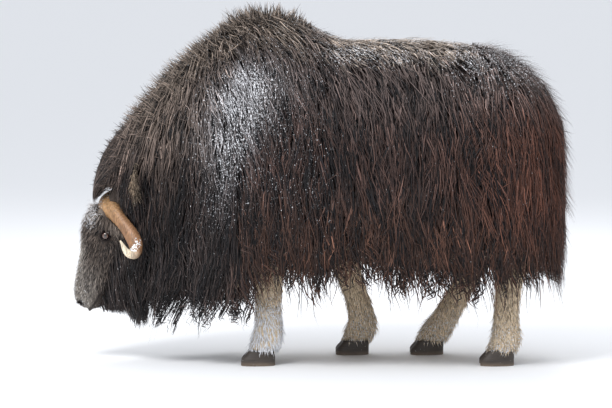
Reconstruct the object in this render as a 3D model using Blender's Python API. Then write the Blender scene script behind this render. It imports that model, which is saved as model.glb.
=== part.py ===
"""A life-size standing muskox with its head lowered to graze, in its long winter coat.

Run it with blender --background --python part.py, or from Blender's text editor.
Metres, +Z up. The animal faces -X and its left side is -Y. The floor is z = 0.
"""

import math
import random

import bmesh
import bpy
from mathutils import Matrix, Vector

# The gap that parted pieces keep between them.
GAP = 0.0003

# The coat's outline at stations along X, out to the tips of the hair:
# (x, crest height, half width, height of the widest place, half width at the waist, half width at the hem, hem height)
COAT = (
    (-0.880, 0.690, 0.050, 0.660, 0.050, 0.050, 0.170),
    (-0.850, 0.790, 0.115, 0.690, 0.110, 0.110, 0.170),
    (-0.800, 0.872, 0.165, 0.720, 0.140, 0.120, 0.170),
    (-0.740, 0.952, 0.205, 0.760, 0.155, 0.135, 0.170),
    (-0.660, 1.048, 0.245, 0.790, 0.175, 0.145, 0.160),
    (-0.560, 1.156, 0.285, 0.800, 0.220, 0.175, 0.155),
    (-0.450, 1.247, 0.315, 0.780, 0.285, 0.235, 0.160),
    (-0.340, 1.312, 0.335, 0.760, 0.325, 0.290, 0.175),
    (-0.200, 1.350, 0.345, 0.740, 0.345, 0.330, 0.270),
    (-0.060, 1.318, 0.355, 0.780, 0.355, 0.345, 0.335),
    (0.080, 1.262, 0.360, 0.800, 0.360, 0.350, 0.335),
    (0.250, 1.260, 0.370, 0.820, 0.370, 0.360, 0.330),
    (0.450, 1.255, 0.370, 0.820, 0.370, 0.360, 0.330),
    (0.600, 1.238, 0.365, 0.800, 0.365, 0.355, 0.330),
)
WAIST_HEIGHT = 0.58
# The rump is a dome that starts at this x, seen from above as a half superellipse.
RUMP_START = 0.600
RUMP_REACH = 0.365
RUMP_ROUNDNESS = 2.3
RUMP_HEM_RISE = 0.040

# The dense wool under the locks: how far inside the tips it lies, and how far above the hem it ends.
CORE_INSET = 0.042
CORE_RISE = 0.100

# Where the trunk is parted, front to back, and the height where the neck is parted from the throat.
NECK_CUT = -0.330
LOIN_CUT = 0.050
HIP_CUT = 0.470
THROAT_TOP = 0.560

# The locks hang in rows down each side. A row is (start, length) as shares of the way from crest to hem.
LOCK_ROWS = ((0.050, 0.380), (0.260, 0.390), (0.485, 0.375), (0.700, 0.310))
LOCK_SPACING = 0.122
LOCK_WIDTH = 0.132
LOCK_THICKNESS = 0.034
LOCK_LEAN = 0.030
# The share of the triangles that stays after the locks are joined.
LOCK_THINNING = 0.60
HEAD_THINNING = 0.62
# One lock from root to tip: (share of its length, depth under the outline, share of its width, share of its thickness)
LOCK_SHAPE = (
    (0.00, 0.080, 0.70, 0.80),
    (0.26, 0.028, 1.00, 1.00),
    (0.58, 0.013, 0.94, 1.00),
    (0.84, 0.008, 0.56, 0.66),
    (1.00, 0.006, 0.08, 0.20),
)
# Locks along the crest: (start x, reach along x, width). They lie forward on the neck and back on the body.
CREST_LOCKS = (
    (-0.400, -0.250, 0.150),
    (-0.540, -0.230, 0.150),
    (-0.680, -0.190, 0.120),
    (-0.400, 0.300, 0.160),
    (-0.180, 0.300, 0.170),
    (0.030, 0.300, 0.160),
    (0.250, 0.300, 0.160),
    (0.440, 0.155, 0.150),
)
HUMP_RISE = 0.022
CREST_THICKENING = 1.9
# Locks of the fringe that falls over the forehead, on each side: (start x, start drop, reach in x, reach in drop)
FRINGE_LOCKS = (
    (-0.500, 0.100, -0.200, 0.080),
    (-0.640, 0.080, -0.200, 0.040),
    (-0.700, 0.170, -0.140, 0.120),
)
# The rump's outline is followed round its side by this much more of the column scale.
RUMP_SWEEP = 0.600

# Locks of the beard and cheeks, on each side: (y at the root, z at the root, y at the tip, z at the tip, ahead of the throat line)
BEARD_LOCKS = (
    (0.018, 0.440, 0.016, 0.175, 0.050),
    (0.050, 0.460, 0.058, 0.190, 0.044),
    (0.082, 0.480, 0.098, 0.215, 0.042),
    (0.092, 0.520, 0.108, 0.330, 0.085),
)
# The same on the throat, behind that line.
THROAT_LOCKS = (
    (0.030, 0.500, 0.030, 0.150, -0.050),
    (0.080, 0.540, 0.075, 0.170, -0.055),
    (0.112, 0.640, 0.120, 0.300, -0.045),
    (0.118, 0.470, 0.112, 0.145, -0.095),
)
BEARD_WIDTH = 0.090
BEARD_THICKNESS = 0.036

# The head's own frame: its origin lies between the horns, s runs down the face and n out of the forehead.
HEAD_ORIGIN = Vector((-0.800, 0.0, 0.635))
FACE_LEAN = math.radians(14.5)
FACE_DOWN = Vector((-math.sin(FACE_LEAN), 0.0, -math.cos(FACE_LEAN)))
FACE_OUT = Vector((-math.cos(FACE_LEAN), 0.0, math.sin(FACE_LEAN)))
# (s, out to the face, back to the jaw, half width)
HEAD = (
    (-0.060, 0.010, 0.150, 0.095),
    (0.000, 0.042, 0.165, 0.110),
    (0.050, 0.064, 0.172, 0.116),
    (0.100, 0.082, 0.168, 0.114),
    (0.140, 0.086, 0.158, 0.110),
    (0.190, 0.079, 0.142, 0.098),
    (0.250, 0.073, 0.120, 0.084),
    (0.310, 0.071, 0.101, 0.075),
    (0.360, 0.070, 0.086, 0.071),
    (0.400, 0.066, 0.075, 0.068),
    (0.430, 0.052, 0.058, 0.057),
    (0.448, 0.026, 0.030, 0.034),
)
# The head is parted from the neck along this bent line in the XZ plane: over the poll, then down the throat.
POLL_CUT = (-0.787, 0.672)
THROAT_CUT = (-0.600, -0.180)

EYE_RADIUS = 0.020
EYE_PLACE = (0.140, -0.006, 0.098)
# Half sizes along the face, out of the face and across it.
EYELID_SIZE = (0.032, 0.027, 0.0250)
EYE_OPENING = (0.0175, 0.0085, 0.040)
NOSTRIL_PLACE = (0.426, 0.030, 0.040)
NOSTRIL_RIM = (0.018, 0.014, 0.013)
NOSTRIL_HOLE = (0.012, 0.006, 0.020)
# The line of the mouth from its corner to the middle of the lips, as (s, n) on the head.
MOUTH = ((0.322, -0.052), (0.350, -0.046), (0.380, -0.038), (0.408, -0.030), (0.430, -0.021), (0.444, -0.014))
LIP_RADIUS = 0.009
MOUTH_RADIUS = 0.0035

# The left horn's middle line with its two half widths: (x, y, z, along the head, across)
HORN = (
    (-0.824, -0.012, 0.632, 0.044, 0.026),
    (-0.818, -0.060, 0.612, 0.044, 0.027),
    (-0.792, -0.108, 0.586, 0.040, 0.026),
    (-0.757, -0.146, 0.549, 0.035, 0.026),
    (-0.724, -0.174, 0.506, 0.031, 0.027),
    (-0.706, -0.193, 0.466, 0.027, 0.026),
    (-0.712, -0.213, 0.438, 0.021, 0.021),
    (-0.738, -0.233, 0.446, 0.014, 0.014),
    (-0.763, -0.250, 0.492, 0.003, 0.003),
)

# The left ear's middle line with its half width and half thickness: (x, y, z, half width, half thickness)
EAR = (
    (-0.700, -0.085, 0.600, 0.022, 0.018),
    (-0.704, -0.130, 0.640, 0.028, 0.018),
    (-0.710, -0.175, 0.680, 0.034, 0.016),
    (-0.712, -0.212, 0.720, 0.032, 0.013),
    (-0.708, -0.238, 0.758, 0.018, 0.009),
    (-0.704, -0.252, 0.790, 0.004, 0.004),
)

TAIL = (
    (0.860, 0.990, 0.030, 0.030),
    (0.915, 0.960, 0.030, 0.022),
    (0.945, 0.905, 0.032, 0.020),
    (0.957, 0.850, 0.022, 0.015),
    (0.960, 0.805, 0.006, 0.006),
)

# Each leg's middle line from inside the body to the hoof: (x, y without its sign, z, half length, half width)
LEGS = {
    "front_left": (
        -1,
        (
            (-0.170, 0.120, 0.620, 0.085, 0.070),
            (-0.185, 0.135, 0.460, 0.068, 0.058),
            (-0.195, 0.150, 0.370, 0.064, 0.056),
            (-0.196, 0.155, 0.250, 0.055, 0.050),
            (-0.194, 0.158, 0.160, 0.059, 0.052),
            (-0.200, 0.160, 0.105, 0.066, 0.057),
            (-0.215, 0.160, 0.056, 0.064, 0.060),
        ),
    ),
    "front_right": (
        1,
        (
            (-0.040, 0.120, 0.620, 0.085, 0.070),
            (0.050, 0.135, 0.460, 0.070, 0.058),
            (0.100, 0.150, 0.370, 0.064, 0.056),
            (0.146, 0.155, 0.250, 0.055, 0.050),
            (0.172, 0.158, 0.160, 0.058, 0.052),
            (0.172, 0.160, 0.105, 0.066, 0.057),
            (0.155, 0.160, 0.056, 0.064, 0.060),
        ),
    ),
    "hind_left": (
        -1,
        (
            (0.640, 0.120, 0.640, 0.120, 0.080),
            (0.735, 0.140, 0.500, 0.080, 0.058),
            (0.765, 0.150, 0.420, 0.066, 0.052),
            (0.738, 0.155, 0.310, 0.055, 0.048),
            (0.728, 0.158, 0.180, 0.054, 0.050),
            (0.728, 0.160, 0.110, 0.064, 0.056),
            (0.712, 0.160, 0.056, 0.064, 0.060),
        ),
    ),
    "hind_right": (
        1,
        (
            (0.560, 0.120, 0.640, 0.120, 0.080),
            (0.625, 0.140, 0.500, 0.080, 0.058),
            (0.640, 0.150, 0.420, 0.066, 0.052),
            (0.595, 0.155, 0.310, 0.056, 0.048),
            (0.525, 0.158, 0.180, 0.060, 0.050),
            (0.480, 0.160, 0.110, 0.070, 0.056),
            (0.452, 0.160, 0.056, 0.068, 0.060),
        ),
    ),
}
TOE_LENGTH = 0.132
TOE_WIDTH = 0.056
TOE_HEIGHT = 0.056
TOE_FORWARD = 0.020
TOE_SPREAD = 0.0305
TOE_SPLAY = math.radians(5.0)

ARC_STEPS = 7
RING_STEP = 0.065
LIMB_SIDES = 11


def clear_scene():
    for old in list(bpy.data.objects):
        bpy.data.objects.remove(old)


def finish_material(name, rgb, roughness):
    material = bpy.data.materials.new(name)
    material.use_nodes = True
    shader = material.node_tree.nodes["Principled BSDF"]
    shader.inputs["Base Color"].default_value = (*rgb, 1.0)
    shader.inputs["Roughness"].default_value = roughness
    return material


def smooth_row(rows, at):
    """The row of a table at a value of its first column, by a smooth curve through the rows."""
    keys = [row[0] for row in rows]
    at = min(max(at, keys[0]), keys[-1])
    i = max(k for k in range(len(keys) - 1) if keys[k] <= at)
    span = keys[i + 1] - keys[i]
    t = (at - keys[i]) / span
    result = []
    for column in range(1, len(rows[0])):
        values = [row[column] for row in rows]

        def slope(k):
            low, high = max(k - 1, 0), min(k + 1, len(rows) - 1)
            return (values[high] - values[low]) / (keys[high] - keys[low])

        a, b = values[i], values[i + 1]
        ma, mb = slope(i) * span, slope(i + 1) * span
        result.append(
            (2 * t**3 - 3 * t**2 + 1) * a
            + (t**3 - 2 * t**2 + t) * ma
            + (3 * t**2 - 2 * t**3) * b
            + (t**3 - t**2) * mb
        )
    return result


def loft(name, rings, material):
    """A closed body through rings of equally many points, with a flat cap at each end."""
    mesh = bmesh.new()
    rows = [[mesh.verts.new(point) for point in ring] for ring in rings]
    count = len(rows[0])
    for first, second in zip(rows, rows[1:]):
        for k in range(count):
            mesh.faces.new((first[k], first[(k + 1) % count], second[(k + 1) % count], second[k]))
    mesh.faces.new(list(reversed(rows[0])))
    mesh.faces.new(rows[-1])
    bmesh.ops.triangulate(mesh, faces=mesh.faces, quad_method="FIXED")
    bmesh.ops.recalc_face_normals(mesh, faces=mesh.faces)
    data = bpy.data.meshes.new(name)
    mesh.to_mesh(data)
    mesh.free()
    obj = bpy.data.objects.new(name, data)
    obj.data.materials.append(material)
    return obj


def link(obj, collection):
    collection.objects.link(obj)
    return obj


def combine(obj, others, operation, solver="EXACT"):
    """Applies one Boolean of obj with a collection of closed meshes, which are then removed."""
    tools = bpy.data.collections.new("tools")
    bpy.context.scene.collection.children.link(tools)
    for other in others:
        tools.objects.link(other)
    modifier = obj.modifiers.new("combine", "BOOLEAN")
    modifier.operation = operation
    modifier.solver = solver
    modifier.operand_type = "COLLECTION"
    modifier.collection = tools
    bpy.context.view_layer.update()
    graph = bpy.context.evaluated_depsgraph_get()
    made = bpy.data.meshes.new_from_object(obj.evaluated_get(graph))
    obj.modifiers.clear()
    obj.data = made
    for other in others:
        bpy.data.objects.remove(other)
    bpy.data.collections.remove(tools)
    return obj


def keep_largest(obj):
    """Keeps only the largest closed surface of a mesh. Faces count as joined where they share an edge."""
    mesh = bmesh.new()
    mesh.from_mesh(obj.data)
    left = set(mesh.faces)
    islands = []
    while left:
        grown = [left.pop()]
        island = set(grown)
        while grown:
            for edge in grown.pop().edges:
                for face in edge.link_faces:
                    if face not in island:
                        island.add(face)
                        grown.append(face)
        left -= island
        islands.append(island)
    best = max(islands, key=lambda faces: spread_of([v.co for face in faces for v in face.verts]))
    scraps = [face for island in islands if island is not best for face in island]
    bmesh.ops.delete(mesh, geom=scraps, context="FACES")
    mesh.to_mesh(obj.data)
    mesh.free()
    return obj


def spread_of(points):
    """The volume of the box round some points."""
    sides = [max(p[k] for p in points) - min(p[k] for p in points) for k in range(3)]
    return sides[0] * sides[1] * sides[2]


def thin_out(obj, share):
    """Applies a Decimate that keeps this share of the triangles, to clear the small ones where locks cross."""
    modifier = obj.modifiers.new("thin", "DECIMATE")
    modifier.ratio = share
    modifier.use_collapse_triangulate = True
    bpy.context.view_layer.update()
    graph = bpy.context.evaluated_depsgraph_get()
    made = bpy.data.meshes.new_from_object(obj.evaluated_get(graph))
    obj.modifiers.clear()
    obj.data = made
    return obj


def coat_outline(x):
    """(crest, half width, widest height, waist, hem half width, hem height) of the coat at x."""
    if x <= RUMP_START:
        return smooth_row(COAT, x)
    crest, half, widest, waist, foot, hem = smooth_row(COAT, RUMP_START)
    share = min((x - RUMP_START) / RUMP_REACH, 1.0)
    round_plan = (1.0 - share**RUMP_ROUNDNESS) ** (1.0 / RUMP_ROUNDNESS)
    round_side = math.sqrt(1.0 - share**2)
    return (
        widest + (crest - widest) * round_side,
        half * round_plan,
        widest,
        waist * round_plan,
        foot * round_plan,
        hem + RUMP_HEM_RISE * share,
    )


def coat_ring(x, inset, rise):
    """The coat's section at x, drawn in by inset, down to a height rise above the hem."""
    crest, half, widest, waist, foot, hem = coat_outline(x + (inset if x > RUMP_START else 0.0))
    low = hem + rise
    half, waist, foot = (max(w - inset, 0.012) for w in (half, waist, foot))
    side = []
    for k in range(ARC_STEPS + 1):
        turn = 0.5 * math.pi * k / ARC_STEPS
        side.append((half * math.sin(turn), widest + (crest - inset - widest) * math.cos(turn)))
    edge = 0.25 * half
    side.append((waist, WAIST_HEIGHT))
    low_wide = waist + (foot - waist) * min(1.0, (WAIST_HEIGHT - low) / (WAIST_HEIGHT - hem))
    side.append((low_wide, low + edge))
    side.append((low_wide - 0.7 * edge, low))
    left = [Vector((x, -y, z)) for y, z in side[1:]]
    right = [Vector((x, y, z)) for y, z in side]
    return right + list(reversed(left))


def section_curve(outline, reach):
    """(distance out, height) points down a section of the coat, from the crest to the hem."""
    crest, half, widest, waist, foot, hem = outline
    stops = []
    for k in range(13):
        turn = 0.5 * math.pi * k / 12
        stops.append((reach * math.sin(turn), widest + (crest - widest) * math.cos(turn)))
    stops.append((waist * reach / half, WAIST_HEIGHT))
    stops.append((foot * reach / half, hem))
    return stops


def section_length(outline, reach):
    """The length of a section's curve from crest to hem."""
    stops = section_curve(outline, reach)
    return sum(math.dist(a, b) for a, b in zip(stops, stops[1:]))


def section_point(outline, reach, drop):
    """(distance out, height) on a section, a length drop down its curve. Below the hem it goes straight down."""
    stops = section_curve(outline, reach)
    for a, b in zip(stops, stops[1:]):
        step = math.dist(a, b)
        if drop <= step:
            return a[0] + (b[0] - a[0]) * drop / step, a[1] + (b[1] - a[1]) * drop / step
        drop -= step
    return stops[-1][0], stops[-1][1] - drop


def coat_section(column, side):
    """(outline, centre, way out, reach) of the section at a column. Past the rump's start the columns fan round it."""
    if column <= RUMP_START:
        outline = smooth_row(COAT, column)
        return outline, Vector((column, 0.0, 0.0)), Vector((0.0, side, 0.0)), outline[1]
    outline = smooth_row(COAT, RUMP_START)
    turn = 0.5 * math.pi * (column - RUMP_START) / RUMP_SWEEP
    bend = 2.0 / RUMP_ROUNDNESS
    back = RUMP_REACH * abs(math.sin(turn)) ** bend
    aside = outline[1] * math.copysign(abs(math.cos(turn)) ** bend, math.cos(turn))
    outline[5] += RUMP_HEM_RISE * math.sin(turn)
    out = Vector((back, side * aside, 0.0))
    return outline, Vector((RUMP_START, 0.0, 0.0)), out.normalized(), out.length


def coat_point(column, drop, side):
    """A point of the coat's outline."""
    if drop < 0.0:
        return coat_point(column, -drop, -side)
    outline, centre, out, reach = coat_section(column, side)
    r, z = section_point(outline, reach, drop)
    return centre + out * r + Vector((0.0, 0.0, z))


def coat_normal(column, drop, side):
    """The way out of the coat at a point of its outline."""
    step = 0.006
    along = coat_point(column + step, drop, side) - coat_point(column - step, drop, side)
    down = coat_point(column, drop + step, side) - coat_point(column, drop - step, side)
    normal = along.cross(down).normalized()
    point = coat_point(column, drop, side)
    middle = Vector((min(point.x, RUMP_START), 0.0, 0.62))
    return normal if normal.dot(point - middle) > 0.0 else -normal


def lock_body(stops, material):
    """One flat tapered lock. Each stop is (point, way out of the coat, width, thickness)."""
    rings = []
    for k, (point, normal, width, thickness) in enumerate(stops):
        along = (stops[min(k + 1, len(stops) - 1)][0] - stops[max(k - 1, 0)][0]).normalized()
        across = along.cross(normal).normalized()
        out = across.cross(along).normalized()
        rings.append(
            [
                point + across * (0.5 * width),
                point + out * (0.5 * thickness),
                point - across * (0.5 * width),
                point - out * (0.5 * thickness),
            ]
        )
    return loft("lock", rings, material)


def coat_lock(column, drop, reach, fall, side, width, rise, wave, material, fat=1.0):
    """A lock that follows the coat's outline from a sunk root, reach along the columns and fall down the side."""
    stops = []
    for share, depth, wide, thick in LOCK_SHAPE:
        depth += 0.5 * LOCK_THICKNESS * (fat - 1.0) * thick
        sway = wave * math.sin(math.pi * (0.3 + 1.4 * share))
        at = column + reach * share + (sway if abs(fall) > abs(reach) else 0.0)
        down = drop + fall * share + (0.0 if abs(fall) > abs(reach) else sway)
        normal = coat_normal(at, down, side)
        point = coat_point(at, down, side) + normal * (rise * share - depth)
        stops.append((point, normal, width * wide, LOCK_THICKNESS * thick * fat))
    return lock_body(stops, material)


def throat_line(z):
    """Where the parting line between head and neck lies at a height."""
    (x0, z0), (x1, z1) = POLL_CUT, THROAT_CUT
    return x0 + (x1 - x0) * (z0 - z) / (z0 - z1)


def lock_columns():
    """The columns of locks down one side, from the front of the neck round to the middle of the rump."""
    last = RUMP_START + RUMP_SWEEP
    count = round((last - COAT[2][0]) / LOCK_SPACING)
    return [COAT[2][0] + (last - COAT[2][0]) * (k + 0.5) / count for k in range(count)]


def all_locks(material):
    """Every lock of the trunk and neck, as loose closed meshes."""
    chance = random.Random(11)
    made = []
    columns = lock_columns()
    for side in (-1, 1):
        for row, (start, length) in enumerate(LOCK_ROWS):
            for k, middle in enumerate(columns):
                fan = middle > RUMP_START
                if fan and row == 0 and k % 2:
                    continue
                column = middle + (0.25 if row % 2 else -0.25) * LOCK_SPACING + chance.uniform(-0.010, 0.010)
                outline, _, _, reach = coat_section(column, side)
                whole = section_length(outline, reach)
                fall = length * whole * chance.uniform(0.90, 1.10)
                if row == len(LOCK_ROWS) - 1:
                    fall = (1.0 - start) * whole + chance.uniform(-0.045, 0.025)
                lean = LOCK_LEAN * chance.uniform(0.2, 1.8) * (0.3 if fan else 1.0)
                wide = LOCK_WIDTH * chance.uniform(0.88, 1.14)
                rise = chance.uniform(-0.004, 0.008)
                wave = chance.uniform(-0.012, 0.012)
                low = coat_point(column, start * whole + 0.7 * fall, side)
                if low.z < POLL_CUT[1] + 0.01 and low.x < throat_line(low.z) + 0.01:
                    continue
                drop = start * whole + chance.uniform(-0.015, 0.015)
                made.append(coat_lock(column, drop, lean, fall, side, wide, rise, wave, material))
        for x, drop, reach, fall in FRINGE_LOCKS:
            made.append(coat_lock(x, drop, reach, fall, side, 0.105, 0.0, 0.008, material))
    for x, reach, width in CREST_LOCKS:
        rise = HUMP_RISE if -0.45 < x < -0.1 and reach > 0.0 else 0.004
        made.append(coat_lock(x, 0.001, reach, 0.0, 1, width, rise, 0.006, material, CREST_THICKENING))
    made.append(coat_lock(RUMP_START + RUMP_SWEEP, 0.010, 0.0, 0.400, 1, 0.140, 0.0, 0.0, material))
    for side in (-1, 1):
        for row in THROAT_LOCKS:
            made.append(beard_lock(*row, side, material))
    return made


def beard_lock(y, z, tip_y, tip_z, ahead, side, material):
    """A lock that hangs down along the throat line, in front of it or behind it."""
    stops = []
    for share, _, wide, thick in LOCK_SHAPE:
        height = z + (tip_z - z) * share
        point = Vector((throat_line(height) - ahead, side * (y + (tip_y - y) * share), height))
        stops.append((point, Vector((-0.15, side, 0.0)).normalized(), BEARD_WIDTH * wide, BEARD_THICKNESS * thick))
    return lock_body(stops, material)


def box_between(name, low, high):
    """A box as a cutter, between two corners."""
    mesh = bmesh.new()
    bmesh.ops.create_cube(mesh, size=1.0)
    size = Vector(high) - Vector(low)
    bmesh.ops.scale(mesh, vec=size, verts=mesh.verts)
    bmesh.ops.translate(mesh, vec=Vector(low) + 0.5 * size, verts=mesh.verts)
    data = bpy.data.meshes.new(name)
    mesh.to_mesh(data)
    mesh.free()
    return bpy.data.objects.new(name, data)


def trunk_piece(name, start, end, inset, rise, material):
    count = max(2, round((end - start) / RING_STEP))
    stops = [start + (end - start) * k / count for k in range(count + 1)]
    return loft(name, [coat_ring(x, inset, rise) for x in stops], material)


def rump_piece(name, start, inset, rise, material):
    """The last part of the trunk: rings up to the dome, then rings that close it."""
    reach = RUMP_START + RUMP_REACH - inset
    count = round((RUMP_START - start) / RING_STEP)
    stops = [start + (RUMP_START - start) * k / count for k in range(count)]
    dome = 6
    stops += [RUMP_START + (reach - RUMP_START) * math.sin(0.5 * math.pi * k / dome) for k in range(dome)]
    stops.append(reach - 0.002)
    return loft(name, [coat_ring(x, inset, rise) for x in stops], material)


def tube(name, stops, sides, material, grow=0.0, across=None):
    """A limb of elliptical rings along a bent line. Each stop is (point, half size one way, half size the other)."""
    rings = []
    for k, (point, one, other) in enumerate(stops):
        before = stops[max(k - 1, 0)][0]
        after = stops[min(k + 1, len(stops) - 1)][0]
        along = (after - before).normalized()
        second = (across - along * across.dot(along)).normalized()
        first = second.cross(along).normalized()
        end = {0: -grow, len(stops) - 1: grow}.get(k, 0.0)
        rings.append(
            [
                point
                + along * end
                + first * ((one + grow) * math.cos(2 * math.pi * j / sides))
                + second * ((other + grow) * math.sin(2 * math.pi * j / sides))
                for j in range(sides)
            ]
        )
    return loft(name, rings, material)


def refine(rows, steps):
    """More rows on a smooth curve through a table's rows, steps between each two."""
    numbered = [(k, *row) for k, row in enumerate(rows)]
    count = (len(rows) - 1) * steps
    return [smooth_row(numbered, k / steps) for k in range(count + 1)]


def leg_body(name, side, rows, material, grow=0.0):
    """A leg as level rings, longer from front to back than across."""
    rings = []
    levels = refine(rows, 2)
    if grow:
        levels.insert(0, [*levels[0][:2], levels[0][2] + grow, *levels[0][3:]])
    for x, y, z, half_length, half_width in levels:
        rings.append(
            [
                Vector(
                    (
                        x + (half_length + grow) * math.cos(2 * math.pi * j / LIMB_SIDES),
                        side * y + (half_width + grow) * math.sin(2 * math.pi * j / LIMB_SIDES),
                        z,
                    )
                )
                for j in range(LIMB_SIDES)
            ]
        )
    return loft(name, rings, material)


def toe(name, place, side, material):
    """One half of a cloven hoof: a flat sole, a sloping front and a flat top under the leg."""
    levels = ((0.0, 1.0, 0.0), (0.35, 1.0, 0.0), (1.0, 0.80, 0.10))
    rings = []
    for share, size, back in levels:
        ring = []
        for j in range(LIMB_SIDES):
            turn = 2 * math.pi * j / LIMB_SIDES
            x = math.copysign(abs(math.cos(turn)) ** 0.85, math.cos(turn)) * 0.5 * TOE_LENGTH * size
            y = math.sin(turn) * 0.5 * TOE_WIDTH * (0.55 + 0.45 * size)
            ring.append(Vector((x + back * TOE_LENGTH, y, share * (TOE_HEIGHT - GAP))))
        rings.append(ring)
    obj = loft(name, rings, material)
    obj.location = place
    obj.rotation_euler.z = side * TOE_SPLAY
    return obj


def head_point(s, n, y):
    return HEAD_ORIGIN + FACE_DOWN * s + FACE_OUT * n + Vector((0.0, y, 0.0))


def head_body(name, material):
    """The face and jaw as rings across the head's own axis."""
    rings = []
    for s, out, back, half in refine(HEAD, 1):
        ring = []
        for j in range(18):
            turn = 2 * math.pi * j / 18
            depth = out if math.cos(turn) > 0 else back
            n = math.copysign(abs(math.cos(turn)) ** 0.9, math.cos(turn)) * depth
            y = math.copysign(abs(math.sin(turn)) ** 0.9, math.sin(turn)) * half
            ring.append(head_point(s, n, y))
        rings.append(ring)
    return loft(name, rings, material)


def head_side(s, n):
    """The half width of the head's surface at a place on it."""
    out, back, half = smooth_row(HEAD, s)
    share = min(abs(n) / (out if n > 0.0 else back), 1.0) ** (1.0 / 0.9)
    return half * (1.0 - share**2) ** 0.45


def blob(name, centre, sizes, material):
    """An ellipsoid in the head's frame, with half sizes along the face, out of the face and across it."""
    mesh = bmesh.new()
    bmesh.ops.create_uvsphere(mesh, u_segments=10, v_segments=6, radius=1.0)
    axes = (FACE_DOWN * sizes[0], FACE_OUT * sizes[1], Vector((0.0, sizes[2], 0.0)))
    for vertex in mesh.verts:
        x, y, z = vertex.co
        vertex.co = centre + axes[0] * x + axes[1] * y + axes[2] * z
    bmesh.ops.recalc_face_normals(mesh, faces=mesh.faces)
    data = bpy.data.meshes.new(name)
    mesh.to_mesh(data)
    mesh.free()
    obj = bpy.data.objects.new(name, data)
    obj.data.materials.append(material)
    return obj


def mouth_tube(name, radius, out, material):
    """A tube round the muzzle along the line of the mouth, its middle line a little off the skin."""
    left = [(s, n, head_side(s, n) + out) for s, n in MOUTH]
    stops = [head_point(s, n, -y) for s, n, y in left]
    stops.append(head_point(0.4475 + out, -0.010, 0.0))
    stops += [head_point(s, n, y) for s, n, y in reversed(left)]
    ends = {0: 0.4, len(stops) - 1: 0.4}
    sized = [(p, radius * ends.get(k, 1.0), radius * ends.get(k, 1.0)) for k, p in enumerate(stops)]
    return tube(name, sized, 6, material, across=FACE_OUT)


def mirrored(rows, side):
    """A left-hand table of (x, y, z, ...) rows, for the left (-1) or the right (1) side."""
    return [(row[0], -side * row[1], *row[2:]) for row in rows]


def horn_body(name, side, material, grow=0.0):
    stops = [(Vector(row[:3]), row[3], row[4]) for row in refine(mirrored(HORN, side), 2)]
    return tube(name, stops, 10, material, grow, across=Vector((-0.5, side * 1.0, 0.35)))


def ear_body(name, side, material, grow=0.0):
    stops = [(Vector(row[:3]), row[3], row[4]) for row in refine(mirrored(EAR, side), 1)]
    return tube(name, stops, 10, material, grow, across=Vector((-0.75, side * 0.55, 0.1)))


def ear_cup(name, side, material):
    """The hollow on the front of the ear, as a slimmer copy of its outer half moved forward."""
    front = Vector((-0.75, side * 0.35, -0.1)).normalized()
    rows = refine(mirrored(EAR, side), 1)[2:]
    stops = []
    for k, row in enumerate(rows):
        slim = (0.55, 0.72, 0.70, 0.35)[k]
        stops.append((Vector(row[:3]) + front * (row[4] * 0.95), row[3] * slim, row[4] * 0.85))
    return tube(name, stops, 8, material, across=front)


def dewclaws(side, rows, material):
    """The two small claws behind the pastern, as short tubes that point down."""
    x, y, z, half_length, _ = rows[-2]
    made = []
    for sign in (-1, 1):
        start = Vector((x + 0.70 * half_length, side * y + sign * 0.020, z + 0.015))
        end = start + Vector((0.014, sign * 0.004, -0.034))
        made.append(
            tube("claw", [(start, 0.013, 0.012), (0.5 * (start + end), 0.014, 0.012), (end, 0.008, 0.007)], 6, material,
                 across=Vector((0.0, 1.0, 0.0)))
        )
    return made


def tail_body(name, material, grow=0.0):
    stops = [(Vector((x, 0.0, z)), one, other) for x, z, one, other in TAIL]
    return tube(name, stops, 8, material, grow, across=Vector((1.0, 0.0, 0.3)))


def ball(name, centre, radius, material, segments=12, rings=8):
    mesh = bmesh.new()
    bmesh.ops.create_uvsphere(mesh, u_segments=segments, v_segments=rings, radius=radius)
    data = bpy.data.meshes.new(name)
    mesh.to_mesh(data)
    mesh.free()
    obj = bpy.data.objects.new(name, data)
    obj.data.materials.append(material)
    obj.location = centre
    obj.rotation_euler.x = 0.5 * math.pi
    return obj


def head_wedge(name, grow):
    """The space in front of the parting line between head and neck, as a prism across the animal."""
    outline = (
        (POLL_CUT[0] + grow, POLL_CUT[1] + grow),
        (THROAT_CUT[0] + grow, THROAT_CUT[1]),
        (-1.3, THROAT_CUT[1]),
        (-1.3, POLL_CUT[1] + grow),
    )
    rings = [[Vector((x, y, z)) for x, z in outline] for y in (-0.6, 0.6)]
    return loft(name, rings, None)


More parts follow.
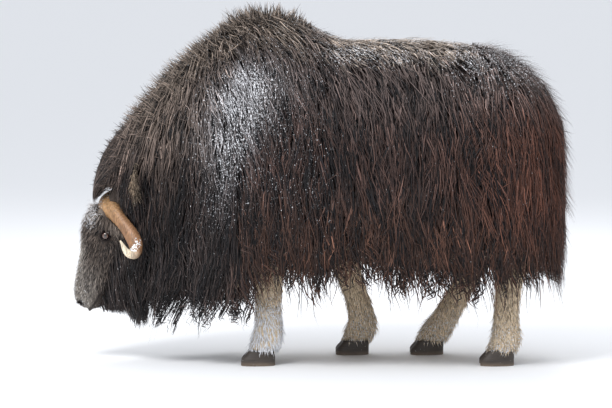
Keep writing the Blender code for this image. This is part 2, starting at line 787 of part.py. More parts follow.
def build():
    clear_scene()
    coat = finish_material("dark_coat", (0.045, 0.033, 0.032), 0.85)
    face = finish_material("face_hair", (0.075, 0.060, 0.052), 0.85)
    pale = finish_material("leg_hair", (0.36, 0.27, 0.19), 0.85)
    horn = finish_material("horn", (0.42, 0.27, 0.16), 0.5)
    hoof = finish_material("hoof", (0.06, 0.05, 0.045), 0.5)
    eye = finish_material("eye", (0.03, 0.02, 0.018), 0.1)

    animal = bpy.data.collections.new("muskox")
    bpy.context.scene.collection.children.link(animal)

    def cutters(names):
        """Grown copies of the pieces that others are cut by."""
        made = []
        for name in names:
            kind, _, place = name.partition(":")
            side = -1 if place.endswith("left") else 1
            if kind == "horn":
                made.append(horn_body("cut", side, coat, GAP))
            elif kind == "ear":
                made.append(ear_body("cut", side, coat, GAP))
            elif kind == "leg":
                made.append(leg_body("cut", LEGS[place][0], LEGS[place][1], coat, 2 * GAP))
            elif kind == "tail":
                made.append(tail_body("cut", coat, GAP))
            elif kind == "eye":
                s, n, y = EYE_PLACE
                made.append(ball("cut", head_point(s, n, side * y), EYE_RADIUS + GAP, coat))
        return made

    def part(obj, joined=(), within=(), against=(), solver="EXACT", thin=1.0):
        """Adds a piece: joined to some meshes, kept within others, cut by a third set, and left as one body."""
        link(obj, animal)
        finish = obj.data.materials[0].copy()
        finish.name = obj.name + "_finish"
        if joined:
            combine(obj, joined, "UNION", solver)
            keep_largest(obj)
            if thin < 1.0:
                thin_out(obj, thin)
        for region in within:
            combine(obj, [region], "INTERSECT", solver)
        if against:
            combine(obj, against, "DIFFERENCE", solver)
        if joined or within or against:
            keep_largest(obj)
        obj.data.materials.clear()
        obj.data.materials.append(finish)
        for face_of in obj.data.polygons:
            face_of.material_index = 0
        return obj

    locks = all_locks(coat)

    def region_locks(low, high):
        """Copies of the locks that reach well into a box."""
        found = []
        for lock in locks:
            points = [v.co for v in lock.data.vertices]
            overlap = [min(max(p[k] for p in points), high[k]) - max(min(p[k] for p in points), low[k]) for k in range(3)]
            if min(overlap) > 0.012:
                found.append(bpy.data.objects.new("lock", lock.data.copy()))
        return found

    half_gap = 0.5 * GAP
    far = 2.0
    core = (CORE_INSET, CORE_RISE)
    spare = 0.004
    front_half = ("horn:left", "horn:right", "ear:left", "ear:right")
    pieces = (
        ("neck", -far, NECK_CUT - half_gap, THROAT_TOP + half_gap, far, front_half),
        ("throat", -far, NECK_CUT - half_gap, -1.0, THROAT_TOP - half_gap, front_half),
        ("shoulders", NECK_CUT + half_gap, LOIN_CUT - half_gap, -1.0, far, ("leg:front_left", "leg:front_right")),
        ("torso", LOIN_CUT + half_gap, HIP_CUT - half_gap, -1.0, far, ("leg:front_right", "leg:hind_right")),
        ("rump", HIP_CUT + half_gap, far, -1.0, far, ("leg:hind_left", "leg:hind_right", "tail:")),
    )
    for name, start, end, bottom, top, against in pieces:
        low, high = (start, -1.0, bottom), (end, 1.0, top)
        if name == "rump":
            body = rump_piece(name, start - spare, *core, coat)
        else:
            body = trunk_piece(name, max(start - spare, COAT[0][0]), end + spare, *core, coat)
        tools = cutters(against)
        if end < NECK_CUT:
            tools.append(head_wedge("cut", GAP))
        part(body, region_locks(low, high), [box_between("cut", low, high)], tools, "MANIFOLD", LOCK_THINNING)
    for lock in locks:
        bpy.data.objects.remove(lock)

    sides = (("left", -1), ("right", 1))
    added = [mouth_tube("lips", LIP_RADIUS, -0.0045, face)]
    cut = cutters((*front_half, "eye:left", "eye:right"))
    cut.append(mouth_tube("cut", MOUTH_RADIUS, 0.0042, face))
    for _, side in sides:
        s, n, y = EYE_PLACE
        added.append(blob("lids", head_point(s, n, side * y), EYELID_SIZE, face))
        cut.append(blob("cut", head_point(s, n, side * y), EYE_OPENING, face))
        s, n, y = NOSTRIL_PLACE
        added.append(blob("rim", head_point(s, n, side * y), NOSTRIL_RIM, face))
        cut.append(blob("cut", head_point(s + 0.004, n, side * (y + 0.006)), NOSTRIL_HOLE, face))
        added += [beard_lock(*row, side, face) for row in BEARD_LOCKS]
    part(head_body("head", face), added, [head_wedge("cut", 0.0)], cut, "MANIFOLD", HEAD_THINNING)

    for place, side in sides:
        part(horn_body("horn_" + place, side, horn))
        part(ear_body("ear_" + place, side, face), against=[ear_cup("cut", side, face)])
        s, n, y = EYE_PLACE
        part(ball("eye_" + place, head_point(s, n, side * y), EYE_RADIUS, eye))
    part(tail_body("tail", coat))

    for place, (side, rows) in LEGS.items():
        part(leg_body("leg_" + place, side, rows, pale), dewclaws(side, rows, pale))
        x, y = rows[-1][0], side * rows[-1][1]
        for which, sign in (("outer", side), ("inner", -side)):
            spot = Vector((x - TOE_FORWARD, y + sign * TOE_SPREAD, 0.0))
            part(toe("hoof_" + place + "_" + which, spot, -sign, hoof))

    frame = bpy.data.objects.new("muskox_frame", None)
    link(frame, animal)
    bpy.context.view_layer.update()
    corners = [obj.matrix_world @ Vector(c) for obj in animal.objects if obj.type == "MESH" for c in obj.bound_box]
    middle = [0.5 * (min(c[k] for c in corners) + max(c[k] for c in corners)) for k in (0, 1)]
    for obj in list(animal.objects):
        if obj is not frame:
            obj.parent = frame
    frame.location = (-middle[0], -middle[1], 0.0)


build()
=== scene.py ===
import math
import time

import bmesh
import bpy
import numpy as np
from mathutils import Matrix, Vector


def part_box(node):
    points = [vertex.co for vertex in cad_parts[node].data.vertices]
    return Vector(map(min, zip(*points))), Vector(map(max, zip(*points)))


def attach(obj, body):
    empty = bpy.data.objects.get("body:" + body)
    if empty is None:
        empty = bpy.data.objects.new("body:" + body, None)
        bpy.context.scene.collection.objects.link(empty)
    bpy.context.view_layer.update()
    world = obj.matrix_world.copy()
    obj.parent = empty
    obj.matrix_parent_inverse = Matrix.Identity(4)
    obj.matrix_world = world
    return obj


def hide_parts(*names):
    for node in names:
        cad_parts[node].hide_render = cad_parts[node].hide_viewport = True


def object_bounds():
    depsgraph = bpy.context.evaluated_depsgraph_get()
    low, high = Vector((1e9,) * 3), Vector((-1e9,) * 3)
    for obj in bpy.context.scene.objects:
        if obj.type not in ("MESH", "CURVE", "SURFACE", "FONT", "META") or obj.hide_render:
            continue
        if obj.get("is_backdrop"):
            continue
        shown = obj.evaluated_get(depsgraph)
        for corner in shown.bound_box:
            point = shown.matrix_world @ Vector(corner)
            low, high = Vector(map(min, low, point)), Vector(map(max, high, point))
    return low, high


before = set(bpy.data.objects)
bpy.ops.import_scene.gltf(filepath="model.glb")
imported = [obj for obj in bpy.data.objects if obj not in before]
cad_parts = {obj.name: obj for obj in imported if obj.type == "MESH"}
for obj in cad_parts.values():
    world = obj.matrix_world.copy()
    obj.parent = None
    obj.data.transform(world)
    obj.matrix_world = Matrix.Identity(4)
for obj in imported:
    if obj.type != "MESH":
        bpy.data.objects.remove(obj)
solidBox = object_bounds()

began = time.time()
chance = np.random.default_rng(5)


def tell(words):
    print(f"{time.time() - began:6.1f} s  {words}", flush=True)


# The coat's outline out to its tips, at stations from the brow to the rump
coat = {
    # x, crest height, half width, height of the widest place, half widths at the waist and the hem, hem height
    "rows": (
        (-0.880, 0.690, 0.050, 0.660, 0.050, 0.050, 0.185),
        (-0.850, 0.790, 0.115, 0.690, 0.110, 0.110, 0.185),
        (-0.800, 0.872, 0.165, 0.720, 0.140, 0.120, 0.185),
        (-0.740, 0.952, 0.205, 0.760, 0.155, 0.135, 0.182),
        (-0.660, 1.048, 0.245, 0.790, 0.175, 0.145, 0.175),
        (-0.560, 1.156, 0.285, 0.800, 0.220, 0.175, 0.172),
        (-0.450, 1.247, 0.315, 0.780, 0.285, 0.235, 0.175),
        (-0.350, 1.308, 0.334, 0.762, 0.321, 0.287, 0.178),
        (-0.310, 1.330, 0.338, 0.754, 0.330, 0.300, 0.188),
        (-0.270, 1.343, 0.341, 0.748, 0.336, 0.311, 0.330),
        (-0.200, 1.351, 0.345, 0.740, 0.345, 0.330, 0.356),
        (-0.060, 1.318, 0.355, 0.780, 0.355, 0.345, 0.318),
        (0.080, 1.264, 0.360, 0.800, 0.360, 0.350, 0.356),
        (0.250, 1.260, 0.370, 0.820, 0.370, 0.360, 0.338),
        (0.450, 1.255, 0.370, 0.820, 0.370, 0.360, 0.318),
        (0.600, 1.238, 0.365, 0.800, 0.365, 0.355, 0.312),
    ),
    "waistHeight": 0.58,
    "front": -0.874,
    "rumpStart": 0.600,
    "rumpReach": 0.365,
    "rumpRoundness": 2.3,
    "rumpHemRise": 0.040,
    "rumpSweep": 0.600,
    # How far the skin lies inside the outline and above the hem
    "skinInset": 0.046,
    "skinRise": 0.100,
    # Two points, as x and z, of the line where the neck's hair ends and the face begins
    "pollCut": (-0.787, 0.672),
    "throatCut": (-0.600, -0.180),
}
# The head: places on it are given down the face from the poll, out to the face and aside.
head = {
    "origin": Vector((-0.800, 0.0, 0.635)),
    "lean": math.radians(14.5),
    # down the face, out to the face, back to the jaw, half width
    "rows": (
        (-0.060, 0.010, 0.150, 0.095),
        (0.000, 0.042, 0.165, 0.110),
        (0.050, 0.064, 0.172, 0.116),
        (0.100, 0.082, 0.168, 0.114),
        (0.140, 0.086, 0.158, 0.110),
        (0.190, 0.079, 0.142, 0.098),
        (0.250, 0.073, 0.120, 0.084),
        (0.310, 0.071, 0.101, 0.075),
        (0.360, 0.070, 0.086, 0.071),
        (0.400, 0.066, 0.075, 0.068),
        (0.430, 0.052, 0.058, 0.057),
        (0.448, 0.026, 0.030, 0.034),
    ),
    "squareness": 0.9,
    "eye": (0.140, -0.006, 0.098),
    "eyeRadius": 0.020,
    "nostril": (0.426, 0.030, 0.040),
    "mouth": ((0.322, -0.052), (0.350, -0.046), (0.380, -0.038), (0.408, -0.030), (0.430, -0.021), (0.444, -0.014)),
    "hairDepth": 0.005,
    "grain": 0.0032,
    # How deep the horns' bosses, the mouth and the nostrils are set in the skin
    "bossDepth": 0.022,
    "mouthDepth": 0.0050,
    "nostrilDepth": 0.016,
}
faceDown = Vector((-math.sin(head["lean"]), 0.0, -math.cos(head["lean"])))
faceOut = Vector((-math.cos(head["lean"]), 0.0, math.sin(head["lean"])))
# The horns: x, distance from the middle, z and two half widths, from the brow round the hook to the tip
horn = {
    "rows": (
        (-0.824, 0.012, 0.632, 0.044, 0.026),
        (-0.818, 0.060, 0.612, 0.044, 0.027),
        (-0.792, 0.108, 0.586, 0.032, 0.025),
        (-0.757, 0.146, 0.549, 0.026, 0.024),
        (-0.724, 0.174, 0.506, 0.029, 0.027),
        (-0.706, 0.193, 0.466, 0.027, 0.026),
        (-0.712, 0.213, 0.438, 0.021, 0.021),
        (-0.738, 0.233, 0.446, 0.014, 0.014),
        (-0.763, 0.250, 0.492, 0.003, 0.003),
    ),
    "sides": 36,
    "ridge": 0.0007,
}
# The ears: x, distance from the middle, z, half width and half thickness
ear = {
    "rows": (
        (-0.700, 0.085, 0.600, 0.022, 0.018),
        (-0.704, 0.130, 0.640, 0.028, 0.018),
        (-0.710, 0.175, 0.680, 0.034, 0.016),
        (-0.712, 0.212, 0.720, 0.032, 0.013),
        (-0.708, 0.238, 0.758, 0.018, 0.009),
        (-0.704, 0.252, 0.790, 0.004, 0.004),
    ),
    "cup": 0.006,
    "inset": 0.011,
    "grain": 0.0030,
}
# Each leg: its side, then x, distance from the middle, z, half length and half width down to the hoof
legs = {
    "front_left": (-1, (
        (-0.170, 0.120, 0.620, 0.085, 0.070),
        (-0.185, 0.135, 0.460, 0.068, 0.058),
        (-0.195, 0.150, 0.370, 0.064, 0.056),
        (-0.196, 0.155, 0.250, 0.055, 0.050),
        (-0.194, 0.158, 0.160, 0.059, 0.052),
        (-0.200, 0.160, 0.105, 0.066, 0.057),
        (-0.215, 0.160, 0.056, 0.064, 0.060),
    )),
    "front_right": (1, (
        (-0.040, 0.120, 0.620, 0.085, 0.070),
        (0.050, 0.135, 0.460, 0.070, 0.058),
        (0.100, 0.150, 0.370, 0.064, 0.056),
        (0.146, 0.155, 0.250, 0.055, 0.050),
        (0.172, 0.158, 0.160, 0.058, 0.052),
        (0.172, 0.160, 0.105, 0.066, 0.057),
        (0.155, 0.160, 0.056, 0.064, 0.060),
    )),
    "hind_left": (-1, (
        (0.640, 0.120, 0.640, 0.120, 0.080),
        (0.735, 0.140, 0.500, 0.080, 0.058),
        (0.765, 0.150, 0.420, 0.066, 0.052),
        (0.738, 0.155, 0.310, 0.055, 0.048),
        (0.728, 0.158, 0.180, 0.054, 0.050),
        (0.728, 0.160, 0.110, 0.064, 0.056),
        (0.712, 0.160, 0.056, 0.064, 0.060),
    )),
    "hind_right": (1, (
        (0.560, 0.120, 0.640, 0.120, 0.080),
        (0.625, 0.140, 0.500, 0.080, 0.058),
        (0.640, 0.150, 0.420, 0.066, 0.052),
        (0.595, 0.155, 0.310, 0.056, 0.048),
        (0.525, 0.158, 0.180, 0.060, 0.050),
        (0.480, 0.160, 0.110, 0.070, 0.056),
        (0.452, 0.160, 0.056, 0.068, 0.060),
    )),
}


def headPoint(s, n, y):
    return head["origin"] + faceDown * s + faceOut * n + Vector((0.0, y, 0.0))


def headSpot(s, n, y):
    return np.array(headPoint(s, n, y))


# The solids are centred on their box, so everything is moved by the same amount, read off the left eye.
eyeLow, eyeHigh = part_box("eye_left")
shift = 0.5 * (eyeLow + eyeHigh) - headPoint(head["eye"][0], head["eye"][1], -head["eye"][2])
shift.z = 0.0


# A hex sRGB colour as linear numbers
def linear(colour):
    parts = [int(colour[i : i + 2], 16) / 255 for i in (1, 3, 5)]
    return np.array([c / 12.92 if c <= 0.04045 else ((c + 0.055) / 1.055) ** 2.4 for c in parts])


# A shader node with its settings, each input set to a value or linked to another node's output
def addNode(tree, kind, links=None, **settings):
    node = tree.nodes.new(kind)
    for name, value in settings.items():
        setattr(node, name, value)
    for socket, value in (links or {}).items():
        if isinstance(value, bpy.types.NodeSocket):
            tree.links.new(value, node.inputs[socket])
        else:
            node.inputs[socket].default_value = value
    return node


# A material whose shader's constants are set on the shader itself
def newMaterial(name, roughness, **constants):
    material = bpy.data.materials.new(name)
    material.use_nodes = True
    tree = material.node_tree
    shader = tree.nodes["Principled BSDF"]
    shader.inputs["Roughness"].default_value = roughness
    for socket, value in constants.items():
        shader.inputs[socket.replace("_", " ")].default_value = value
    return material, tree, shader


# Snow: its specks' size in mm, and the levels of noise and dusting between which they show
snow = {"colour": linear("#F3F4F8"), "speckSize": 6.4, "shows": (0.74, 0.82)}


# The piece's own painted colour in streaks, with their sizes in mm, and snow where the colour's alpha asks for it
def paintedSurface(tree, shader, contrast, streaks, bump=0.0):
    tint = addNode(tree, "ShaderNodeAttribute", attribute_name="Markings")
    place = addNode(tree, "ShaderNodeTexCoord").outputs["Object"]
    drawn = addNode(tree, "ShaderNodeMapping", {"Vector": place, "Scale": [1000.0 / size for size in streaks]})
    noise = addNode(tree, "ShaderNodeTexNoise", {"Vector": drawn.outputs["Vector"], "Scale": 1.0, "Detail": 3.0})
    shade = addNode(tree, "ShaderNodeMapRange", {
        "Value": noise.outputs["Fac"], "From Min": 0.3, "From Max": 0.7,
        "To Min": 1.0 - contrast, "To Max": 1.0 + contrast,
    })
    coloured = addNode(tree, "ShaderNodeVectorMath", {
        0: tint.outputs["Color"], "Scale": shade.outputs["Result"],
    }, operation="SCALE")
    fineness = 1000.0 / snow["speckSize"]
    specks = addNode(tree, "ShaderNodeTexNoise", {"Vector": place, "Scale": fineness, "Detail": 3.5})
    level = addNode(tree, "ShaderNodeMath", {
        0: tint.outputs["Alpha"], 1: 0.5, 2: specks.outputs["Fac"],
    }, operation="MULTIPLY_ADD")
    least, most = snow["shows"]
    dusted = addNode(tree, "ShaderNodeMapRange", {
        "Value": level.outputs["Value"], "From Min": least, "From Max": most,
    })
    white = addNode(tree, "ShaderNodeMix", {
        0: dusted.outputs["Result"], 6: coloured.outputs["Vector"], 7: (*snow["colour"], 1.0),
    }, data_type="RGBA")
    tree.links.new(white.outputs[2], shader.inputs["Base Color"])
    if bump:
        raised = addNode(tree, "ShaderNodeBump", {
            "Height": noise.outputs["Fac"], "Strength": bump, "Distance": 0.001,
        })
        tree.links.new(raised.outputs["Normal"], shader.inputs["Normal"])


# Long coarse guard hair: a little gloss along each lock, in streaks 2 mm wide and 40 mm long.
# A real hair is far finer, so all streaks of hair are drawn this coarse to show.
guardHair, tree, shader = newMaterial("long guard hair", 0.50, Specular_IOR_Level=0.32, Sheen_Weight=0.02)
paintedSurface(tree, shader, 0.30, (2.08333, 2.08333, 40.0))
# Short soft hair of the face, ears and legs: duller, in streaks 2.4 mm wide and 17 mm long
shortHair, tree, shader = newMaterial("short soft hair", 0.68, Specular_IOR_Level=0.25, Sheen_Weight=0.05)
paintedSurface(tree, shader, 0.22, (2.38095, 2.38095, 16.66667))
# Underwool and skin below the hair: matt, with a felted grain of 4 by 8 mm
underWool, tree, shader = newMaterial("underwool and skin", 0.85, Specular_IOR_Level=0.2)
paintedSurface(tree, shader, 0.25, (4.0, 4.0, 8.33333), 0.4)
# Weathered horn: hard and slightly polished, with grain lines 4.5 mm apart and 33 mm long
weatheredHorn, tree, shader = newMaterial(
    "weathered horn", 0.50, Coat_Weight=0.05, Coat_Roughness=0.4, Subsurface_Weight=0.04, Subsurface_Scale=0.004
)
paintedSurface(tree, shader, 0.45, (4.54545, 4.54545, 33.33333), 0.9)
# Dull hoof horn: growth rings 4.5 mm apart up the wall
hoofHorn, tree, shader = newMaterial("dull hoof horn", 0.55, Coat_Weight=0.05)
paintedSurface(tree, shader, 0.30, (50.0, 50.0, 4.54545), 0.4)
# The wet front of the eye: a clear mirror-like gloss over the painted iris
wetEye, tree, shader = newMaterial("wet eye", 0.08, Coat_Weight=1.0, Coat_Roughness=0.03, Specular_IOR_Level=0.6)
tint = addNode(tree, "ShaderNodeAttribute", attribute_name="Markings")
tree.links.new(tint.outputs["Color"], shader.inputs["Base Color"])


def smoothStep(value, start, end):
    t = np.clip((value - start) / (end - start), 0.0, 1.0)
    return t * t * (3.0 - 2.0 * t)


# The columns of a table at many values of its first column, by a smooth curve through the rows
def smoothTable(rows, at):
    table = np.array(rows, float)
    keys, values = table[:, 0], table[:, 1:]
    slopes = np.empty_like(values)
    slopes[1:-1] = (values[2:] - values[:-2]) / (keys[2:] - keys[:-2])[:, None]
    slopes[0] = (values[1] - values[0]) / (keys[1] - keys[0])
    slopes[-1] = (values[-1] - values[-2]) / (keys[-1] - keys[-2])
    at = np.clip(np.asarray(at, float), keys[0], keys[-1])
    i = np.clip(np.searchsorted(keys, at, "right") - 1, 0, len(keys) - 2)
    span = keys[i + 1] - keys[i]
    t = ((at - keys[i]) / span)[..., None]
    span = span[..., None]
    return (
        (2 * t**3 - 3 * t**2 + 1) * values[i]
        + (t**3 - 2 * t**2 + t) * span * slopes[i]
        + (3 * t**2 - 2 * t**3) * values[i + 1]
        + (t**3 - t**2) * span * slopes[i + 1]
    )


# More rows on the smooth curve through a table's rows
def refined(rows, steps):
    numbered = [(k, *row) for k, row in enumerate(rows)]
    return smoothTable(numbered, np.linspace(0, len(rows) - 1, (len(rows) - 1) * steps + 1))


# A value read off a table of (place, value), straight between its rows
def profile(at, rows):
    return np.interp(at, *zip(*rows))


def unit(vectors):
    return vectors / np.maximum(np.linalg.norm(vectors, axis=-1, keepdims=True), 1e-9)


# How far points are from the nearest stop of a line
def nearest(points, line):
    best = np.full(points.shape[:-1], 1e9)
    for stop in line:
        best = np.minimum(best, ((points - stop) ** 2).sum(-1))
    return np.sqrt(best)


# The section's numbers, its centre, its way out and its reach. Past the rump's start the columns fan round.
def coatSection(column):
    outline = smoothTable(coat["rows"], column)
    turn = 0.5 * np.pi * np.maximum(column - coat["rumpStart"], 0.0) / coat["rumpSweep"]
    bend = 2.0 / coat["rumpRoundness"]
    back = coat["rumpReach"] * np.abs(np.sin(turn)) ** bend * np.sign(np.sin(turn))
    aside = outline[..., 1] * np.sign(np.cos(turn)) * np.abs(np.cos(turn)) ** bend
    outline[..., 5] += coat["rumpHemRise"] * np.sin(turn)
    reach = np.hypot(back, aside)
    return outline, np.minimum(column, coat["rumpStart"]), back / reach, aside / reach, reach


# Points down each section from the crest to the hem, as distances out and heights
def sectionCurve(outline, reach):
    crest, half, widest, waist, foot, hem = (outline[..., k, None] for k in range(6))
    turn = np.linspace(0.0, 0.5 * np.pi, 13)
    wide = reach[..., None]
    r = np.concatenate([wide * np.sin(turn), waist * wide / half, foot * wide / half], -1)
    z = np.concatenate([widest + (crest - widest) * np.cos(turn), np.full_like(waist, coat["waistHeight"]), hem], -1)
    return r, z


def sectionLength(column):
    outline, _, _, _, reach = coatSection(column)
    r, z = sectionCurve(outline, reach)
    return np.hypot(np.diff(r), np.diff(z)).sum(-1)


# Points of the coat's outline, a length drop down the section from its crest
def coatPoint(column, drop, side):
    side = np.where(drop < 0.0, -side, side)
    drop = np.abs(drop)
    outline, centre, outX, outY, reach = coatSection(column)
    r, z = sectionCurve(outline, reach)
    steps = np.hypot(np.diff(r), np.diff(z))
    ends = np.cumsum(steps, -1)
    i = np.minimum((drop[..., None] > ends).sum(-1), steps.shape[-1] - 1)[..., None]
    start, step, r0, z0, r1, z1 = (
        np.take_along_axis(values, k, -1)[..., 0]
        for values, k in ((ends - steps, i), (steps, i), (r, i), (z, i), (r, i + 1), (z, i + 1))
    )
    t = np.clip((drop - start) / step, 0.0, 1.0)
    below = np.maximum(drop - ends[..., -1], 0.0)
    out = r0 + (r1 - r0) * t
    return np.stack([centre + outX * out, side * outY * out, z0 + (z1 - z0) * t - below], -1)


# The way out of the coat at points of its outline
def coatNormal(column, drop, side):
    step = 0.012
    along = coatPoint(column + step, drop, side) - coatPoint(column - step, drop, side)
    down = coatPoint(column, drop + step, side) - coatPoint(column, drop - step, side)
    normal = unit(np.cross(along, down))
    point = coatPoint(column, drop, side)
    middle = np.stack([np.minimum(point[..., 0], coat["rumpStart"]), 0 * point[..., 1], 0 * point[..., 2] + 0.62], -1)
    turned = (normal * (point - middle)).sum(-1, keepdims=True) < 0.0
    return np.where(turned, -normal, normal)


# Where the face and the throat part, as x at a height
def throatLine(z):
    (x0, z0), (x1, z1) = coat["pollCut"], coat["throatCut"]
    return x0 + (x1 - x0) * (z0 - z) / (z0 - z1)


# The coat's colours: every tuft lies between the dark hair and its region's light hair.
markings = {
    "dark": linear("#0F0D10"),
    "side": linear("#7A6A65"),
    "flank": linear("#624A42"),
    "lowFlank": linear("#664739"),
    "chest": linear("#54433D"),
    "neck": linear("#948277"),
    "hump": linear("#A89789"),
    "fringe": linear("#6E5F57"),
    "saddle": linear("#D2C0B0"),
    "frost": linear("#BDBBBE"),
    "rump": linear("#7A4F3F"),
    "beard": linear("#544844"),
    "face": linear("#7E6F65"),
    "bridge": linear("#CFC5BA"),
    "brow": linear("#AFA297"),
    "patch": linear("#A89A8E"),
    "rim": linear("#191414"),
    "leg": linear("#F0DABB"),
    "ear": linear("#C0AB94"),
}


# The light hair's colour and share, as regions of (colour, share, weight) are laid one over another
def layered(shape, colour, share, regions):
    light = np.broadcast_to(markings[colour], (*shape, 3))
    share = np.full(shape, share)
    for name, level, weight in regions:
        light = light * (1.0 - weight[..., None]) + markings[name] * weight[..., None]
        share = share * (1.0 - weight) + level * weight
    return light, share


# How thickly snow lies in the patch that trails down the shoulder
def snowPatch(x, fallen):
    centre = -0.280 - 0.18 * (fallen - 0.22)
    width = 0.135 - 0.070 * smoothStep(fallen, 0.32, 0.60)
    ends = smoothStep(fallen, 0.12, 0.24) * smoothStep(-fallen, -0.86, -0.55)
    return np.exp(-(((x - centre) / width) ** 2)) * ends * (1.0 - 0.5 * smoothStep(fallen, 0.34, 0.62))


def trunkLook(points):
    x, z = points[..., 0], points[..., 2]
    fallen = smoothTable(coat["rows"], x)[..., 0] - z
    behind = smoothStep(x, 0.00, 0.12) * smoothStep(-x, -0.66, -0.50)
    return layered(x.shape, "flank", 0.23, (
        ("side", 0.44, smoothStep(-fallen, -0.42, -0.16)),
        ("lowFlank", 0.32, smoothStep(-z, -0.72, -0.50)),
        ("chest", 0.16, smoothStep(-x, 0.20, 0.36) * smoothStep(-z, -1.02, -0.70)),
        ("neck", 0.58, smoothStep(-x, 0.30, 0.50) * smoothStep(z + 0.04 * np.sin(17.0 * x), 0.58, 1.00)),
        ("hump", 0.42, smoothStep(x, -0.80, -0.60) * smoothStep(-x, -0.04, 0.10) * smoothStep(-fallen, -0.17, -0.05)),
        ("saddle", 0.52, behind * smoothStep(-fallen, -0.11, -0.03)),
        ("rump", 0.46, smoothStep(x, 0.34, 0.88) * smoothStep(z, 0.36, 0.60) * smoothStep(fallen, 0.10, 0.40)),
        ("frost", 0.46, 0.8 * snowPatch(x, fallen)),
        ("fringe", 0.34, smoothStep(-x, 0.74, 0.82)),
        ("beard", 0.16, smoothStep(-x, 0.30, 0.46) * smoothStep(-z, -0.58, -0.42)),
    ))


# How thickly the coat is dusted with snow: the shoulder's patch, the back, the rump's top and stray specks
def trunkSnow(points):
    x, z = points[..., 0], points[..., 2]
    fallen = smoothTable(coat["rows"], x)[..., 0] - z
    patch = snowPatch(x, fallen) * (0.74 + 0.26 * np.sin(43.0 * x + 19.0 * z) * np.sin(29.0 * z - 17.0 * x + 1.0))
    # The back's snow lies beside the crest, thickest behind the hump.
    back = smoothStep(x, -0.02, 0.10) * smoothStep(-x, -0.56, -0.44) * smoothStep(-fallen, -0.15, -0.05)
    back *= (0.5 + 0.5 * smoothStep(fallen, 0.005, 0.045)) * (1.0 - 0.40 * smoothStep(x, 0.28, 0.40))
    back *= 0.76 + 0.24 * np.sin(37.0 * x + 2.0) * np.sin(51.0 * z + 13.0 * x)
    rear = smoothStep(x, 0.44, 0.56) * smoothStep(-fallen, -0.30, -0.05)
    stray = smoothStep(-x, -0.12, 0.02) * smoothStep(x, -0.60, -0.42) * smoothStep(-fallen, -0.95, -0.60)
    return np.clip(0.07 + 0.46 * patch + 0.52 * back + 0.34 * rear + 0.15 * stray, 0.0, 0.70)


# Where tufts take their colour from: mostly their middle, each a little off, so that regions have no edge
def colourPlaces(paths, spread=0.026):
    middle = paths[:, paths.shape[1] // 2, None]
    return 0.4 * paths + 0.6 * middle + chance.normal(0.0, spread, (len(paths), 1, 3))


# Offsets as lengths down the face and out of it
def alongFace(offsets):
    return offsets @ np.array(faceDown), offsets @ np.array(faceOut)


def facePlace(points):
    return *alongFace(points - np.array(head["origin"])), np.abs(points[..., 1])


def faceLook(points):
    s, n, y = facePlace(points)
    return layered(s.shape, "face", 0.41, (
        ("beard", 0.22, smoothStep(-n, 0.03, 0.08) * smoothStep(s, 0.10, 0.16)),
        ("brow", 0.50, smoothStep(-s, -0.13, -0.06) * smoothStep(n, 0.01, 0.04)),
        ("bridge", 0.62, smoothStep(n, 0.010, 0.050) * smoothStep(-y, -0.085, -0.035) * smoothStep(s, 0.12, 0.2)),
        ("bridge", 0.52, smoothStep(s, 0.20, 0.42) * smoothStep(n, -0.055, 0.01)),
        ("patch", 0.90, np.exp(-(((s - 0.085) / 0.036) ** 2) - ((n + 0.036) / 0.026) ** 2)),
    ))


# How far points are from the crease of the mouth
def mouthGap(points):
    return nearest(points, mouthLine(-0.004))


# Dark rims of the eyes, the nostrils and the mouth
def rimShare(points):
    share = np.exp(-((mouthGap(points) / 0.007) ** 2))
    for side in (-1, 1):
        s, n, y = head["eye"]
        gap = nearest(points, [headSpot(s, n, side * (y + 0.016))])
        share = np.maximum(share, smoothStep(-gap, -0.030, -0.020))
        s, n, y = head["nostril"]
        gap = nearest(points, [headSpot(s + 0.004, n, side * (y + 0.006))])
        share = np.maximum(share, smoothStep(-gap, -0.026, -0.016))
    return share


# A mesh from arrays, with its colours and dusting in one attribute and an optional bake map
def meshObject(name, points, triangles, material, colours, dusting=0.0, uvs=None):
    mesh = bpy.data.meshes.new(name)
    mesh.vertices.add(len(points))
    mesh.vertices.foreach_set("co", (points + np.array(shift)).astype(np.float32).ravel())
    mesh.loops.add(triangles.size)
    mesh.loops.foreach_set("vertex_index", triangles.astype(np.int32).ravel())
    mesh.polygons.add(len(triangles))
    mesh.polygons.foreach_set("loop_start", np.arange(0, triangles.size, 3, dtype=np.int32))
    mesh.update(calc_edges=True)
    mesh.shade_smooth()
    if uvs is not None:
        layer = mesh.uv_layers.new(name="OFBake")
        layer.data.foreach_set("uv", uvs[triangles.ravel()].astype(np.float32).ravel())
    piece = bpy.data.objects.new(name, mesh)
    bpy.context.scene.collection.objects.link(piece)
    return painted(piece, material, colours, dusting)


def painted(piece, material, colours, dusting=0.0):
    count = len(piece.data.vertices)
    values = np.empty((count, 4), np.float32)
    values[:, :3] = colours
    values[:, 3] = dusting
    layer = piece.data.color_attributes.new("Markings", "FLOAT_COLOR", "POINT")
    layer.data.foreach_set("color", values.ravel())
    piece.data.materials.clear()
    piece.data.materials.append(material)
    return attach(piece, "root")


